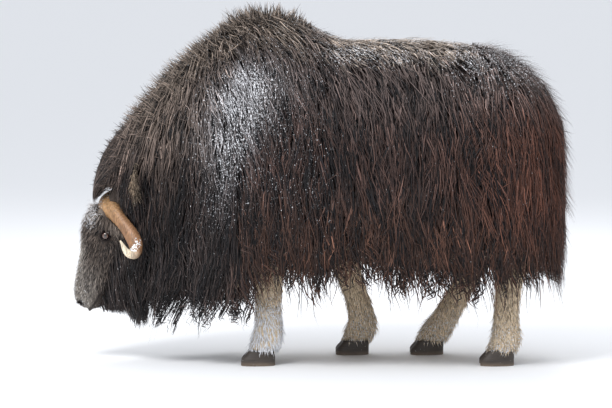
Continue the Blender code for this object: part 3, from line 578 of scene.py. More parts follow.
# Closed three-sided tufts along paths of (tufts, rings, 3). A look is the light colour and its share at each ring.
def tuftObject(name, paths, out, width, look, dusting, roots, material, noise, thickness=0.28):
    count, rings, _ = paths.shape
    along = np.empty_like(paths)
    along[:, 1:-1] = paths[:, 2:] - paths[:, :-2]
    along[:, 0] = paths[:, 1] - paths[:, 0]
    along[:, -1] = paths[:, -1] - paths[:, -2]
    along = unit(along)
    across = unit(np.cross(out, along))
    raised = unit(np.cross(along, across))
    half = 0.5 * width[:, :-1, None]
    high = thickness * width[:, :-1, None]
    body, side, up = paths[:, :-1], across[:, :-1], raised[:, :-1]
    rows = np.stack([body + side * half, body + up * high, body - side * half], 2)
    each = 3 * (rings - 1) + 1
    points = np.concatenate([rows.reshape(count, -1, 3), paths[:, -1:]], 1).reshape(-1, 3)
    faces = [(2, 1, 0)]
    for k in range(rings - 2):
        for j in range(3):
            a, b = 3 * k + j, 3 * k + (j + 1) % 3
            faces += [(a, b, b + 3), (a, b + 3, a + 3)]
    last = 3 * (rings - 2)
    faces += [(last + j, last + (j + 1) % 3, each - 1) for j in range(3)]
    triangles = (np.array(faces)[None] + each * np.arange(count)[:, None, None]).reshape(-1, 3)
    # Tufts differ in how light and how bright they are, and darken towards the root: partly the hair's own darker
    # base, partly painted shade deep in the coat between the tufts.
    light, share = look
    share = np.clip(share + noise[0][:, None], 0.0, np.maximum(share, 0.80))[..., None]
    fade = 0.45 + 0.72 * smoothStep(np.linspace(0, 1, rings), 0.0, 0.8)[None, :, None]
    colours = (light * share + markings["dark"] * (1.0 - share)) * np.exp(noise[1])[:, None, None] * fade
    spread = lambda values: np.concatenate([np.repeat(values[:, :-1], 3, 1), values[:, -1:]], 1)
    tint = spread(colours).reshape(-1, 3)
    dust = spread(np.broadcast_to(dusting, (count, rings))).reshape(-1)
    u = np.append(np.tile([0.0, 0.0015, 0.003], rings - 1), 0.0015)
    v = np.append(np.repeat(np.linspace(0.0, 0.003, rings), 3)[: each - 1], 0.003)
    uvs = (roots[:, None] + np.stack([u, v], 1)[None]).reshape(-1, 2)
    piece = meshObject(name, points, triangles, material, tint, dust, uvs)
    print(f"  {name}: {len(triangles)} triangles")


# Widths along tufts: narrow at the root, widest part way, and tapering to the tip
def tuftWidths(widest, rings, root=0.55, peak=0.35, tip=0.10):
    t = np.linspace(0.0, 1.0, rings)
    swell = root + (1 - root) * smoothStep(t, 0.0, peak)
    taper = 1 - (1 - tip) * smoothStep(t, peak, 1.0) ** 0.9
    return widest[:, None] * np.where(t < peak, swell, taper)


# The places of a tuft's rings, from 0 at its root to 1 at its tip
def ringSteps(sizes):
    return np.linspace(0.0, 1.0, sizes["rings"])[None]


# Where roots on the trunk lie on the bake map
def coatRoots(column, drop, side):
    u = 0.02 + 0.56 * (column + 0.95) / 2.20
    v = 0.02 + 0.44 * np.clip(drop, 0, 1.4) / 1.4 + np.where(side > 0, 0.48, 0.0)
    return np.stack([u, v], -1)


def headRoots(places):
    s, n, _ = facePlace(places)
    angle = np.arctan2(places[:, 1], n)
    return np.stack([0.62 + 0.16 * (angle + np.pi) / (2 * np.pi), 0.02 + 0.38 * (s + 0.1) / 0.6], -1)


# Paths cut short where they first leave what is allowed, and which of them are still long enough
def trimmed(paths, allowed):
    count, rings = allowed.shape
    first = np.where(allowed.all(1), rings, np.argmin(allowed, 1))
    share = np.clip((first - 0.5) / (rings - 1), 0.0, 1.0)
    t = np.linspace(0.0, 1.0, rings)[None] * share[:, None] * (rings - 1)
    i = np.minimum(t.astype(int), rings - 2)
    f = (t - i)[..., None]
    each = np.arange(count)[:, None]
    return paths[each, i] * (1 - f) + paths[each, i + 1] * f, share > 0.3


# False where hair would lie over a horn
def clearOfHorns(paths, margin=0.003):
    x, y, z = paths[..., 0], np.abs(paths[..., 1]), paths[..., 2]
    clear = np.ones(x.shape, bool)
    for hx, hy, hz, one, other in refined(horn["rows"], 4):
        clear &= (np.hypot(x - hx, z - hz) > 0.5 * (one + other) + margin) | (y < hy - other)
    return clear


def selectOnly(*pieces):
    bpy.ops.object.select_all(action="DESELECT")
    for piece in pieces:
        piece.select_set(True)
    bpy.context.view_layer.objects.active = pieces[0]


# A circle set on the first ring and extruded ring by ring along a piece
def extrudedBody(name, rings):
    bpy.ops.object.select_all(action="DESELECT")
    bpy.ops.mesh.primitive_circle_add(vertices=len(rings[0]), radius=0.01, fill_type="NGON")
    piece = bpy.context.object
    piece.name = name
    bpy.ops.object.mode_set(mode="EDIT")
    bpy.ops.mesh.select_all(action="SELECT")
    shape = bmesh.from_edit_mesh(piece.data)
    for vertex, place in zip(shape.verts, rings[0]):
        vertex.co = place
    for before, ring in zip(rings, rings[1:]):
        bpy.ops.mesh.extrude_region_move()
        shape = bmesh.from_edit_mesh(piece.data)
        for vertex in [v for v in shape.verts if v.select]:
            vertex.co = ring[min(range(len(ring)), key=lambda k: (before[k] - vertex.co).length_squared)]
    bmesh.update_edit_mesh(piece.data)
    bpy.ops.mesh.select_all(action="SELECT")
    bpy.ops.mesh.normals_make_consistent(inside=False)
    bpy.ops.object.mode_set(mode="OBJECT")
    return piece


# Overlapping closed bodies made one even surface, given as points and triangles
def evenSurface(bodies, grain, relaxing):
    selectOnly(*bodies)
    if len(bodies) > 1:
        bpy.ops.object.join()
    body = bpy.context.object
    even = body.modifiers.new("even", "REMESH")
    even.mode = "VOXEL"
    even.voxel_size = grain
    relax = body.modifiers.new("relax", "SMOOTH")
    relax.iterations = relaxing
    bpy.ops.object.modifier_apply(modifier="even")
    bpy.ops.object.modifier_apply(modifier="relax")
    body.data.calc_loop_triangles()
    points = np.empty(len(body.data.vertices) * 3, np.float32)
    body.data.vertices.foreach_get("co", points)
    triangles = np.empty(len(body.data.loop_triangles) * 3, np.int32)
    body.data.loop_triangles.foreach_get("vertices", triangles)
    bpy.data.objects.remove(body)
    return points.reshape(-1, 3).astype(float), triangles.reshape(-1, 3)


def pointNormals(points, triangles):
    corners = points[triangles]
    faces = np.cross(corners[:, 1] - corners[:, 0], corners[:, 2] - corners[:, 0])
    normals = np.zeros_like(points)
    for k in range(3):
        np.add.at(normals, triangles[:, k], faces)
    return unit(normals)


# Angles all the way round
def turnsOf(sides):
    return [2 * math.pi * j / sides for j in range(sides)]


# A sine or cosine raised to a power, with its sign kept: below 1 it squares a ring off
def squared(value, power):
    return math.copysign(abs(value) ** power, value)


# Elliptical rings along a bent line of (point, half size one way, half size the other)
def tubeRings(stops, sides, across):
    rings = []
    for k, (point, one, other) in enumerate(stops):
        along = (stops[min(k + 1, len(stops) - 1)][0] - stops[max(k - 1, 0)][0]).normalized()
        second = (across - along * across.dot(along)).normalized()
        first = second.cross(along).normalized()
        rings.append([point + first * (one * math.cos(a)) + second * (other * math.sin(a)) for a in turnsOf(sides)])
    return rings


# The skin: the grain and the smoothing of its surface, where it starts, and how bright its parts are painted
skinSizes = {"trunkGrain": 0.0125, "relaxing": 6, "front": -0.852, "legs": 0.75, "face": 0.75, "ears": 0.25}


# A section of the skin: the coat's outline drawn in, and cut off along the throat line under the neck
def skinRing(x, inset):
    share = max(x + inset - coat["rumpStart"], 0.0) / coat["rumpReach"] if x > coat["rumpStart"] else 0.0
    share = min(share, 1.0)
    crest, half, widest, waist, foot, hem = smoothTable(coat["rows"], np.array([x]))[0]
    plan = (1.0 - share ** coat["rumpRoundness"]) ** (1.0 / coat["rumpRoundness"])
    crest = widest + (crest - widest) * math.sqrt(1.0 - share**2)
    half, waist, foot = (max(w * plan - inset, 0.010) for w in (half, waist, foot))
    lowest = max(hem + coat["rumpHemRise"] * share + coat["skinRise"], 0.30)
    (x0, z0), (x1, z1) = coat["pollCut"], coat["throatCut"]
    if x < x1:
        lowest = max(lowest, min(z0 - (x - x0) * (z0 - z1) / (x1 - x0) + 0.03, z0 + 0.012))
    ring = []
    for k in range(25):
        turn = 0.5 * math.pi * k / 24
        z = widest + (crest - inset - widest) * math.cos(turn)
        ring.append((half * math.sin(turn), max(z, lowest + 0.02)))
    for z in np.linspace(max(widest, lowest + 0.03), lowest + 0.02, 8)[1:]:
        down = (z - coat["waistHeight"]) / max(widest - coat["waistHeight"], 0.01)
        wide = waist + (half - waist) * min(max(down, 0.0), 1.0)
        if z < coat["waistHeight"]:
            wide = foot + (waist - foot) * (z - hem) / (coat["waistHeight"] - hem)
        ring.append((wide, z))
    ring += [(ring[-1][0] * 0.8, lowest), (ring[-1][0] * 0.3, lowest - 0.004)]
    right = [Vector((x, y, z)) for y, z in ring]
    left = [Vector((x, -y, z)) for y, z in ring[1:]]
    return right + list(reversed(left))


def legRings(side, rows, inset):
    rings = []
    for x, y, z, halfLength, halfWidth in refined(rows, 6):
        long, wide = halfLength - inset, halfWidth - inset
        # A leg is a little broader at its back.
        ring = [(long * math.cos(a), wide * math.sin(a) * (1 - 0.06 * math.cos(a))) for a in turnsOf(28)]
        rings.append([Vector((x + along, side * y + aside, z)) for along, aside in ring])
    return rings


def earBody(side):
    stops = [
        (Vector((x, side * y, z)), max(one - ear["inset"], 0.003), max(other - 0.004, 0.003))
        for x, y, z, one, other in refined(ear["rows"], 5)
    ]
    return extrudedBody("ear", tubeRings(stops, 24, Vector((-0.75, side * 0.55, 0.1))))


def headRings(inset):
    rings = []
    for s in np.linspace(-0.06, 0.448 - inset, 46):
        forward, back, half = smoothTable(head["rows"], np.array([s + (inset if s > 0.3 else 0.0)]))[0]
        forward, back, half = (max(w - inset, 0.006) for w in (forward, back, half))
        ring = []
        for turn in turnsOf(48):
            n = squared(math.cos(turn), head["squareness"]) * (forward if math.cos(turn) > 0 else back)
            ring.append(headPoint(s, n, squared(math.sin(turn), head["squareness"]) * half))
        rings.append(ring)
    return rings


# The half width of the head at a place on its side
def headSide(s, n):
    forward, back, half = smoothTable(head["rows"], np.array([s]))[0]
    share = min(abs(n) / (forward if n > 0 else back), 1.0) ** (1.0 / head["squareness"])
    return half * (1.0 - share**2) ** (0.5 * head["squareness"])


def mouthLine(out):
    left = [(s, n, headSide(s, n) + out) for s, n in refined(head["mouth"], 4)]
    stops = [headPoint(s, n, -y) for s, n, y in left]
    stops.append(headPoint(0.4475 + out, -0.010, 0.0))
    return [np.array(p) for p in stops + [headPoint(s, n, y) for s, n, y in reversed(left)]]


def blob(place, halfSizes):
    bpy.ops.object.select_all(action="DESELECT")
    bpy.ops.mesh.primitive_uv_sphere_add(
        segments=32, ring_count=20, radius=1.0, location=place, scale=halfSizes, rotation=(0.0, head["lean"], 0.0)
    )
    bpy.ops.object.transform_apply(location=True, rotation=True, scale=True)
    return bpy.context.object


# How far points lie outside the horns
def hornGap(points):
    gap = np.full(points.shape[:-1], 1.0)
    for x, y, z, one, other in refined(horn["rows"], 4):
        for side in (-1, 1):
            away = np.linalg.norm(points - np.array((x, side * y, z)), axis=-1)
            gap = np.minimum(gap, away - 0.5 * (one + other))
    return gap


# Lays the horns' bosses bare, sinks the mouth line and the nostrils, and shapes lids round each eye
def carveFace(points):
    s, _, _ = facePlace(points)
    axis = headSpot(0.0, -0.05, 0.0) + s[:, None] * np.array(faceDown)
    points = points + unit(axis - points) * (head["bossDepth"] * smoothStep(-hornGap(points), -0.012, 0.004))[:, None]
    inward = unit(headSpot(0.36, -0.01, 0.0) - points)
    points = points + inward * (head["mouthDepth"] * np.exp(-((mouthGap(points) / 0.0032) ** 2)))[:, None]
    for side in (-1, 1):
        s, n, y = head["nostril"]
        centre = headSpot(s + 0.004, n, side * (y + 0.008))
        local = points - centre
        down, out = alongFace(local)
        hole = np.exp(-(((down / 0.011) ** 2 + ((out - 0.25 * down) / 0.0062) ** 2) ** 1.5))
        hole = hole * (local[:, 1] * side > -0.03)
        points = points + unit(headSpot(0.37, 0.0, 0.0) - centre) * (head["nostrilDepth"] * hole)[:, None]
        s, n, y = head["eye"]
        local = points - headSpot(s, n, side * y)
        (down, out), aside = alongFace(local), local[:, 1] * side
        flat = np.hypot(down, out)
        lid = np.sqrt(np.maximum((head["eyeRadius"] + 0.0042) ** 2 - flat**2, 0.0))
        behind = np.sqrt(np.maximum(head["eyeRadius"] ** 2 - flat**2, 0.0)) - 0.006
        opened = smoothStep(-np.sqrt((down / 0.0172) ** 2 + (out / 0.0158) ** 2), -1.12, -0.94)
        share = smoothStep(-flat, -0.0225, -0.0185) * (aside > 0.0)
        moved = aside + (lid * (1 - opened) + behind * opened - aside) * share
        points[:, 1] = side * (y + moved)
    return points


# The short hair of the legs, whose depth the skin already leaves room for
legHair = {
    "depth": 0.006,
    "tufts": 3100,
    "length": 0.032,
    "width": 0.0034,
    "noise": (0.10, 0.13),
    # By height: how long the hair is beside its usual length
    "lengths": ((0.05, 0.9), (0.12, 1.05), (0.30, 1.0), (0.50, 1.3)),
}
inset = coat["skinInset"]
reachEnd = coat["rumpStart"] + coat["rumpReach"] - inset
stations = list(np.linspace(skinSizes["front"], coat["rumpStart"], 62)[:-1])
stations += [coat["rumpStart"] + (reachEnd - coat["rumpStart"]) * math.sin(0.5 * math.pi * k / 16) for k in range(16)]
stations.append(reachEnd - 0.001)
bodies = [extrudedBody("trunk", [skinRing(x, inset) for x in stations])]
bodies += [extrudedBody("leg", legRings(side, rows, legHair["depth"])) for side, rows in legs.values()]
trunkPoints, trunkTriangles = evenSurface(bodies, skinSizes["trunkGrain"], skinSizes["relaxing"])

lips = tubeRings([(Vector(p), 0.0075, 0.0075) for p in mouthLine(-0.0085)], 12, faceOut)
bodies = [extrudedBody("skull", headRings(head["hairDepth"])), extrudedBody("lips", lips)]
for side in (-1, 1):
    s, n, y = head["eye"]
    bodies.append(blob(headPoint(s, n, side * (y - 0.002)), (0.025, 0.0245, 0.029)))
    s, n, y = head["nostril"]
    bodies.append(blob(headPoint(s - 0.002, n, side * (y - 0.002)), (0.013, 0.012, 0.016)))
headPoints, headTriangles = evenSurface(bodies, head["grain"], 5)
headPoints = carveFace(headPoints)

earPoints, earTriangles = evenSurface([earBody(-1), earBody(1)], ear["grain"], 3)
for side in (-1, 1):
    front = np.array(Vector((-0.75, side * 0.35, -0.1)).normalized())
    line = refined(ear["rows"], 5)[10:, :3] * np.array([1.0, side, 1.0])
    facing = pointNormals(earPoints, earTriangles) @ front
    sunk = ear["cup"] * smoothStep(facing, 0.35, 0.9) * (nearest(earPoints, line) < 0.03)
    earPoints = earPoints - front * sunk[:, None]

# Legs show below the belly. The wool under the long coat is painted nearly black: its own dark colour, darkened
# further as painted shade in the gaps between the locks.
under = (smoothStep(-trunkPoints[:, 2], -0.50, -0.42) * (trunkPoints[:, 0] > -0.33))[:, None]
light, share = trunkLook(trunkPoints)
woolAndShade = light * 0.35 * share[:, None] + markings["dark"] * 0.65
trunkTint = woolAndShade * (1 - under) + markings["leg"] * skinSizes["legs"] * under
light, share = faceLook(headPoints)
headTint = light * share[:, None] + markings["dark"] * (1 - share[:, None])
rims = rimShare(headPoints)[:, None]
headTint = headTint * skinSizes["face"] * (1 - rims) + markings["rim"] * rims
earTint = np.broadcast_to(markings["ear"] * skinSizes["ears"], earPoints.shape)
headStart, earStart = len(trunkPoints), len(trunkPoints) + len(headPoints)
skin = meshObject(
    "skin",
    np.concatenate([trunkPoints, headPoints, earPoints]),
    np.concatenate([trunkTriangles, headTriangles + headStart, earTriangles + earStart]),
    underWool,
    np.concatenate([trunkTint, headTint, earTint]),
)
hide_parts("head", "neck", "throat", "shoulders", "torso", "rump", "tail", "ear_left", "ear_right",
            "leg_front_left", "leg_front_right", "leg_hind_left", "leg_hind_right")
tell(f"skin made, {len(skin.data.polygons)} triangles")

# The long coat: locks of tufts that hang down the sides, back along the spine and forward on the neck
longCoat = {
    "firstColumn": -0.868,
    "columnStep": 0.050,
    "dropStep": 0.050,
    "spread": (0.040, 0.042),
    "hemEnds": (-0.140, 0.022),
    "tuftsPerLock": 14,
    "rings": 6,
    "width": 0.0056,
    "wave": 0.0085,
    "layer": 0.020,
    "rootDepth": 0.052,
    "wisps": 0.07,
    # By the drop from the crest: how long the hair is, how far a lock's tufts draw together, how much they wave
    "lengths": ((0.0, 0.13), (0.15, 0.16), (0.35, 0.21), (0.60, 0.27), (0.90, 0.32), (1.20, 0.33)),
    "gather": ((0.0, 0.10), (0.35, 0.30), (0.95, 0.78)),
    "swing": ((0.1, 0.6), (0.5, 1.3), (0.9, 1.9)),
}


# How long the hair is: short on the back, longer down the sides, longest on the skirt
def lockLength(column, drop):
    length = profile(drop, longCoat["lengths"])
    saddle = smoothStep(column, -0.05, 0.12) * smoothStep(-drop, -0.34, -0.14)
    return length * (1.0 - 0.35 * saddle)


# The turn of the coat's lie from straight down: back along the spine, forward on the neck, in waves elsewhere
def lieAngle(column, drop):
    forward = smoothStep(-column, 0.20, 0.64)
    near = np.exp(-np.abs(drop) / 0.13)
    waves = 0.12 * np.sin(8.3 * column + 3.1 * drop) * np.sin(5.1 * column - 4.3 * drop + 1.7)
    small = 0.20 * np.sin(27.0 * column - 6.0 * drop) * np.sin(9.0 * drop + 11.0 * column)
    waves += small * smoothStep(drop, 0.30, 0.60)
    lie = (1.25 * near + 0.08) * (1.0 - forward) - (1.15 * near + 0.02) * forward
    return np.where(column > coat["rumpStart"], 0.05, lie) + waves


# The locks: column, drop, side, and the length from crest to hem there. At the rear, where the columns fan
# round, every other one is left out near the crest.
def lockTable():
    rows = []
    columns = np.arange(longCoat["firstColumn"], coat["rumpStart"] + coat["rumpSweep"], longCoat["columnStep"])
    for side in (-1.0, 1.0):
        for i, column in enumerate(columns):
            whole = float(sectionLength(np.array([column]))[0])
            behind = column > coat["rumpStart"] + 0.03
            for j, drop in enumerate(np.arange(0.0, whole - 0.02, longCoat["dropStep"])):
                if not (behind and drop < 0.22 and i % 2):
                    rows.append((column + (0.5 if j % 2 else 0.0) * longCoat["columnStep"], drop, side, whole))
    return np.array(rows)


# Hair from its root in the skin out to the coat's surface and down along it
def hangingPaths(tufts):
    t = ringSteps(longCoat)
    column, drop, side, reach, fall, pull, depth, wave, phase = (
        tufts[k][:, None] for k in ("column", "drop", "side", "reach", "fall", "pull", "depth", "wave", "phase")
    )
    sway = wave * np.sin(2 * np.pi * (1.3 * t) + phase) * t
    at = column + reach * t + pull * t**1.2 + sway
    # Hair that runs forward off the neck turns down over the brow.
    surplus = np.maximum(coat["front"] - at, 0.0)
    at = at + surplus * 0.9
    down = drop + fall * t + surplus * 0.8
    sides = np.broadcast_to(side, at.shape)
    normal = coatNormal(at, down, sides)
    sunk = longCoat["rootDepth"] * (1.0 - smoothStep(t, 0.0, 0.42)) + depth * (0.4 + 0.6 * t)
    return coatPoint(at, down, sides) - normal * sunk[..., None], normal


# The top of the shoulder hump, where the hair stands up
def humpShare(column, drop):
    return smoothStep(column, -0.62, -0.40) * smoothStep(-column, -0.06, 0.10) * smoothStep(-drop, -0.26, -0.06)


def growLongCoat():
    locks = lockTable()
    count = len(locks)
    locks[:, 0] += chance.uniform(-0.016, 0.016, count)
    locks[:, 1] += chance.uniform(-0.018, 0.018, count)
    column, drop, side, whole = locks.T
    length = lockLength(column, drop) * chance.uniform(0.82, 1.18, count)
    # The lowest locks end at the hem, each a little higher or lower.
    ragged = 0.032 * np.sin(21.0 * column + 2.0) + 0.024 * np.sin(47.0 * column + 0.5)
    rear = smoothStep(column, 0.70, 1.0)
    left = whole - drop + chance.uniform(*longCoat["hemEnds"], count) * (1.0 + 0.3 * rear)
    left = left + ragged * (column > -0.25) - 0.015 * rear
    length = np.where(left < length * 1.02, np.maximum(left, 0.06), length)
    angle = lieAngle(column, drop) + chance.normal(0.0, 0.10, count)
    of = np.repeat(np.arange(count), longCoat["tuftsPerLock"])
    total = len(of)
    spin = chance.uniform(0, 2 * np.pi, total)
    out = np.sqrt(chance.uniform(0, 1, total))
    aside, along = longCoat["spread"][0] * out * np.cos(spin), longCoat["spread"][1] * out * np.sin(spin)
    top = np.exp(-drop[of] / 0.12)
    hump = humpShare(column, drop)[of]
    lean = angle[of] + chance.normal(0.0, 0.06, total) + chance.normal(0.0, 0.30, total) * top
    size = length[of] * chance.uniform(0.76, 1.06, total)
    # Most tufts draw together towards the lock's tip, more so low down; wisps run free.
    wisp = chance.uniform(0, 1, total) < longCoat["wisps"]
    gather = profile(drop[of], longCoat["gather"]) + chance.uniform(-0.20, 0.20, total)
    gather = np.where(wisp, chance.uniform(-0.4, 0.5, total), gather)
    size = np.where(wisp, size * chance.uniform(1.0, 1.25, total), size)
    depth = chance.uniform(0.0, 0.008, count)[of] + longCoat["layer"] * chance.uniform(0, 1, total) ** 1.5
    depth = np.where(wisp, chance.uniform(-0.012, 0.002, total), depth) - 0.020 * chance.uniform(0, 1, total) * hump
    swing = longCoat["wave"] * profile(drop[of], longCoat["swing"])
    slim = 1.0 - 0.14 * smoothStep(-column[of], 0.15, 0.40)
    tufts = {
        "column": column[of] + aside,
        "drop": drop[of] + along,
        "side": side[of],
        "reach": size * np.sin(lean),
        "fall": size * np.cos(lean),
        "pull": -aside * gather,
        "depth": depth,
        "wave": swing * chance.uniform(0.3, 1.6, count)[of] * chance.uniform(0.7, 1.2, total),
        "phase": chance.uniform(0, 2 * np.pi, count)[of] + chance.normal(0, 0.5, total),
        "width": longCoat["width"] * chance.uniform(0.75, 1.25, total) * np.where(wisp, 0.62, 1.0) * slim,
        "share": 0.22 * chance.normal(0.0, 1.0, count)[of] + 0.34 * chance.normal(0.0, 1.0, total),
        "tone": 0.20 * chance.normal(0.0, 1.0, count)[of] + 0.36 * chance.normal(0.0, 1.0, total) - 0.03,
    }
    paths, normal = hangingPaths(tufts)
    # Hair of the neck stays behind the throat line, the fringe ends over the brow, and the horns stay clear.
    x, z = paths[..., 0], paths[..., 2]
    slack = chance.uniform(-0.012, 0.022, total)[:, None]
    allowed = (x > throatLine(z) - 0.008 + slack) | (z > coat["pollCut"][1] - 0.014 + slack)
    margin = chance.uniform(-0.014, 0.004, total)[:, None]
    paths, keep = trimmed(paths, allowed & clearOfHorns(paths, margin))
    tufts = {k: v[keep] for k, v in tufts.items()}
    return tufts, paths[keep], normal[keep]


tufts, paths, normal = growLongCoat()
widths = tuftWidths(tufts["width"], longCoat["rings"])
light, share = trunkLook(colourPlaces(paths))
dusting = trunkSnow(paths) * smoothStep(ringSteps(longCoat), 0.15, 0.5)
roots = coatRoots(tufts["column"], tufts["drop"], tufts["side"])
# The coat's pieces on each side, each between two columns
coatPieces = {
    "mane": (-2.0, -0.52),
    "neckCoat": (-0.52, -0.24),
    "shoulderCoat": (-0.24, 0.02),
    "foreFlankCoat": (0.02, 0.27),
    "hindFlankCoat": (0.27, 0.50),
    "haunchCoat": (0.50, 0.76),
    "rumpCoat": (0.76, 2.0),
}
for side, word in ((-1.0, "Left"), (1.0, "Right")):
    for name, (start, end) in coatPieces.items():
        own = (tufts["side"] == side) & (tufts["column"] >= start) & (tufts["column"] < end)
        tuftObject(name + word, paths[own], normal[own], widths[own], (light[own], share[own]),
                   dusting[own], roots[own], guardHair, (tufts["share"][own], tufts["tone"][own]))
tell("long coat grown")


def strandNoise(count, share=0.35, tone=0.29):
    return chance.normal(0.0, share, count), chance.normal(0.0, tone, count)


def randomSides(count):
    return np.where(chance.uniform(0, 1, count) < 0.5, -1.0, 1.0)


# Paths cut short at the throat line and at the horns
def trimmedToCoat(paths):
    x, z = paths[..., 0], paths[..., 2]
    return trimmed(paths, ((x > throatLine(z)) | (z > coat["pollCut"][1])) & clearOfHorns(paths))


# Long hair along paths, coloured as the trunk is there unless a look is given
def growHair(name, sizes, paths, out, dusting, roots, look=None, vary=(0.75, 1.25)):
    count = len(paths)
    widths = tuftWidths(sizes["width"] * chance.uniform(*vary, count), sizes["rings"])
    look = look or trunkLook(colourPlaces(paths))
    tuftObject(name, paths, out, widths, look, dusting, roots, guardHair, strandNoise(count))


# Hair along the coat's outline, from the columns and drops of its rings and how far out they stand. Its way out
# is read no lower than a given drop, because it has none past the hem.
def alongCoat(column, drop, side, at, down, rise, lowest=np.inf):
    sides = np.broadcast_to(side[:, None], at.shape)
    normal = coatNormal(at, np.minimum(down, lowest), sides)
    paths, keep = trimmedToCoat(coatPoint(at, down, sides) + normal * rise[..., None])
    return paths[keep], normal[keep], coatRoots(column, drop, side)[keep]


# Loose hairs that stand out of the coat. A random pick below the first of the picks puts one on the hump,
# and a pick above the second puts it at the rear.
loose = {
    "tufts": 3800,
    "rings": 5,
    "width": 0.0034,
    "length": (0.07, 0.16),
    "stand": (0.005, 0.023),
    "rootDepth": 0.022,
    "front": -0.872,
    "picks": (0.26, 0.86),
}


def growLoose():
    count = loose["tufts"]
    onHump, atRear = loose["picks"]
    pick = chance.uniform(0, 1, count)
    column = np.where(pick < onHump, chance.normal(-0.27, 0.15, count), chance.uniform(-0.86, 1.19, count))
    high = chance.uniform(0, 1, count) < 0.6
    drop = np.where(high, np.abs(chance.normal(0, 0.16, count)), chance.uniform(0.1, 1.0, count))
    column = np.where(pick > atRear, chance.uniform(0.95, 1.19, count), column)
    drop = np.where(pick > atRear, chance.uniform(0.15, 0.95, count), drop)
    side = randomSides(count)
    hump = humpShare(column, drop)
    angle = lieAngle(column, drop) + chance.normal(0.0, 0.45, count)
    rear = smoothStep(column, 0.75, 1.0)
    length = chance.uniform(*loose["length"], count) * (1.0 - 0.5 * hump + 0.4 * rear)
    stand = chance.uniform(*loose["stand"], count) * (1.0 + 0.9 * hump + 1.3 * rear)
    t = ringSteps(loose)
    at = np.maximum(column[:, None] + (length * np.sin(angle))[:, None] * t, loose["front"])
    down = drop[:, None] + (length * np.cos(angle))[:, None] * t
    depth = loose["rootDepth"]
    rise = -depth + (stand[:, None] + depth) * t**1.3
    paths, normal, roots = alongCoat(column, drop, side, at, down, rise)
    growHair("looseHair", loose, paths, normal, trunkSnow(paths), roots, vary=(0.7, 1.2))


growLoose()

# Hair that stands up: thin points on the hump's crest, and frizz on the neck and the brow
upright = {
    "crestHair": {
        "locks": 76, "tuftsPerLock": 7, "rings": 5, "width": 0.0036, "length": (0.050, 0.098),
        "columns": (-0.42, -0.03), "drop": 0.040, "along": -0.15, "spread": 0.34, "gathered": 0.012,
    },
    "maneFrizz": {
        "locks": 2600, "tuftsPerLock": 1, "rings": 4, "width": 0.0030, "length": (0.030, 0.062),
        "columns": (-0.872, -0.18), "drop": 0.19, "along": -0.75, "spread": 0.60, "gathered": 0.0,
    },
    "highest": 1.410,
}


def growUpright(name):
    sizes = upright[name]
    locks = sizes["locks"]
    first, last = sizes["columns"]
    column = chance.uniform(first, last, locks)
    drop = np.abs(chance.normal(0.0, sizes["drop"], locks))
    side = randomSides(locks)
    length = chance.uniform(*sizes["length"], locks)
    length = length * (0.5 + 0.5 * smoothStep(column, -0.87, -0.66))
    if name == "crestHair":
        ends = smoothStep(column, first, first + 0.12), smoothStep(-column, -last, -last + 0.10)
        length = length * (0.25 + 0.75 * ends[0] * ends[1])
    lean = chance.normal(0.0, sizes["spread"], (locks, 3))
    lean[:, 0] += sizes["along"]
    way = unit(coatNormal(column, drop, side) + lean)
    foot = coatPoint(column, drop, side)
    length = np.minimum(length, (upright["highest"] - foot[:, 2]) / np.maximum(way[:, 2], 0.2))
    point = foot + way * length[:, None]
    # The hairs of a lock stand side by side and lean towards its point.
    of = np.repeat(np.arange(locks), sizes["tuftsPerLock"])
    count = len(of)
    column = column[of] + chance.normal(0.0, sizes["gathered"], count)
    drop = drop[of] + chance.normal(0.0, sizes["gathered"], count)
    side = side[of]
    root = coatPoint(column, drop, side) - coatNormal(column, drop, side) * 0.022
    end = root + (point[of] - root) * chance.uniform(0.70, 1.0, count)[:, None]
    end = end + chance.normal(0.0, 0.005, (count, 3))
    end[:, 2] = np.minimum(end[:, 2], upright["highest"])
    t = ringSteps(sizes)[..., None]
    bend = np.sin(np.pi * t) * chance.normal(0.0, 0.004, (count, 1, 3))
    paths, keep = trimmedToCoat(root[:, None] + (end - root)[:, None] * t + bend)
    paths, roots = paths[keep], coatRoots(column, drop, side)[keep]
    out = np.broadcast_to(np.array([0.1, 1.0, 0.1]) * side[keep][:, None, None], paths.shape)
    growHair(name, sizes, paths, unit(out), trunkSnow(paths) * 0.5, roots, vary=(0.7, 1.2))


for name in ("crestHair", "maneFrizz"):
    growUpright(name)

# Thin strands that part from the locks: some flow down the sides in long waves, and some hang past the hem
strands = {
    "sideStrands": {
        "tufts": 2300, "rings": 8, "width": 0.0031, "length": (0.20, 0.40),
        "columns": (-0.50, 1.19), "lighter": 0.14, "wave": (0.008, 0.026),
    },
    "hemWisps": {
        "tufts": 1300, "rings": 7, "width": 0.0034, "length": (0.17, 0.30),
        "columns": (-0.24, 1.19), "lighter": 0.0, "wave": (0.003, 0.016), "pastHem": (-0.020, 0.150),
    },
}


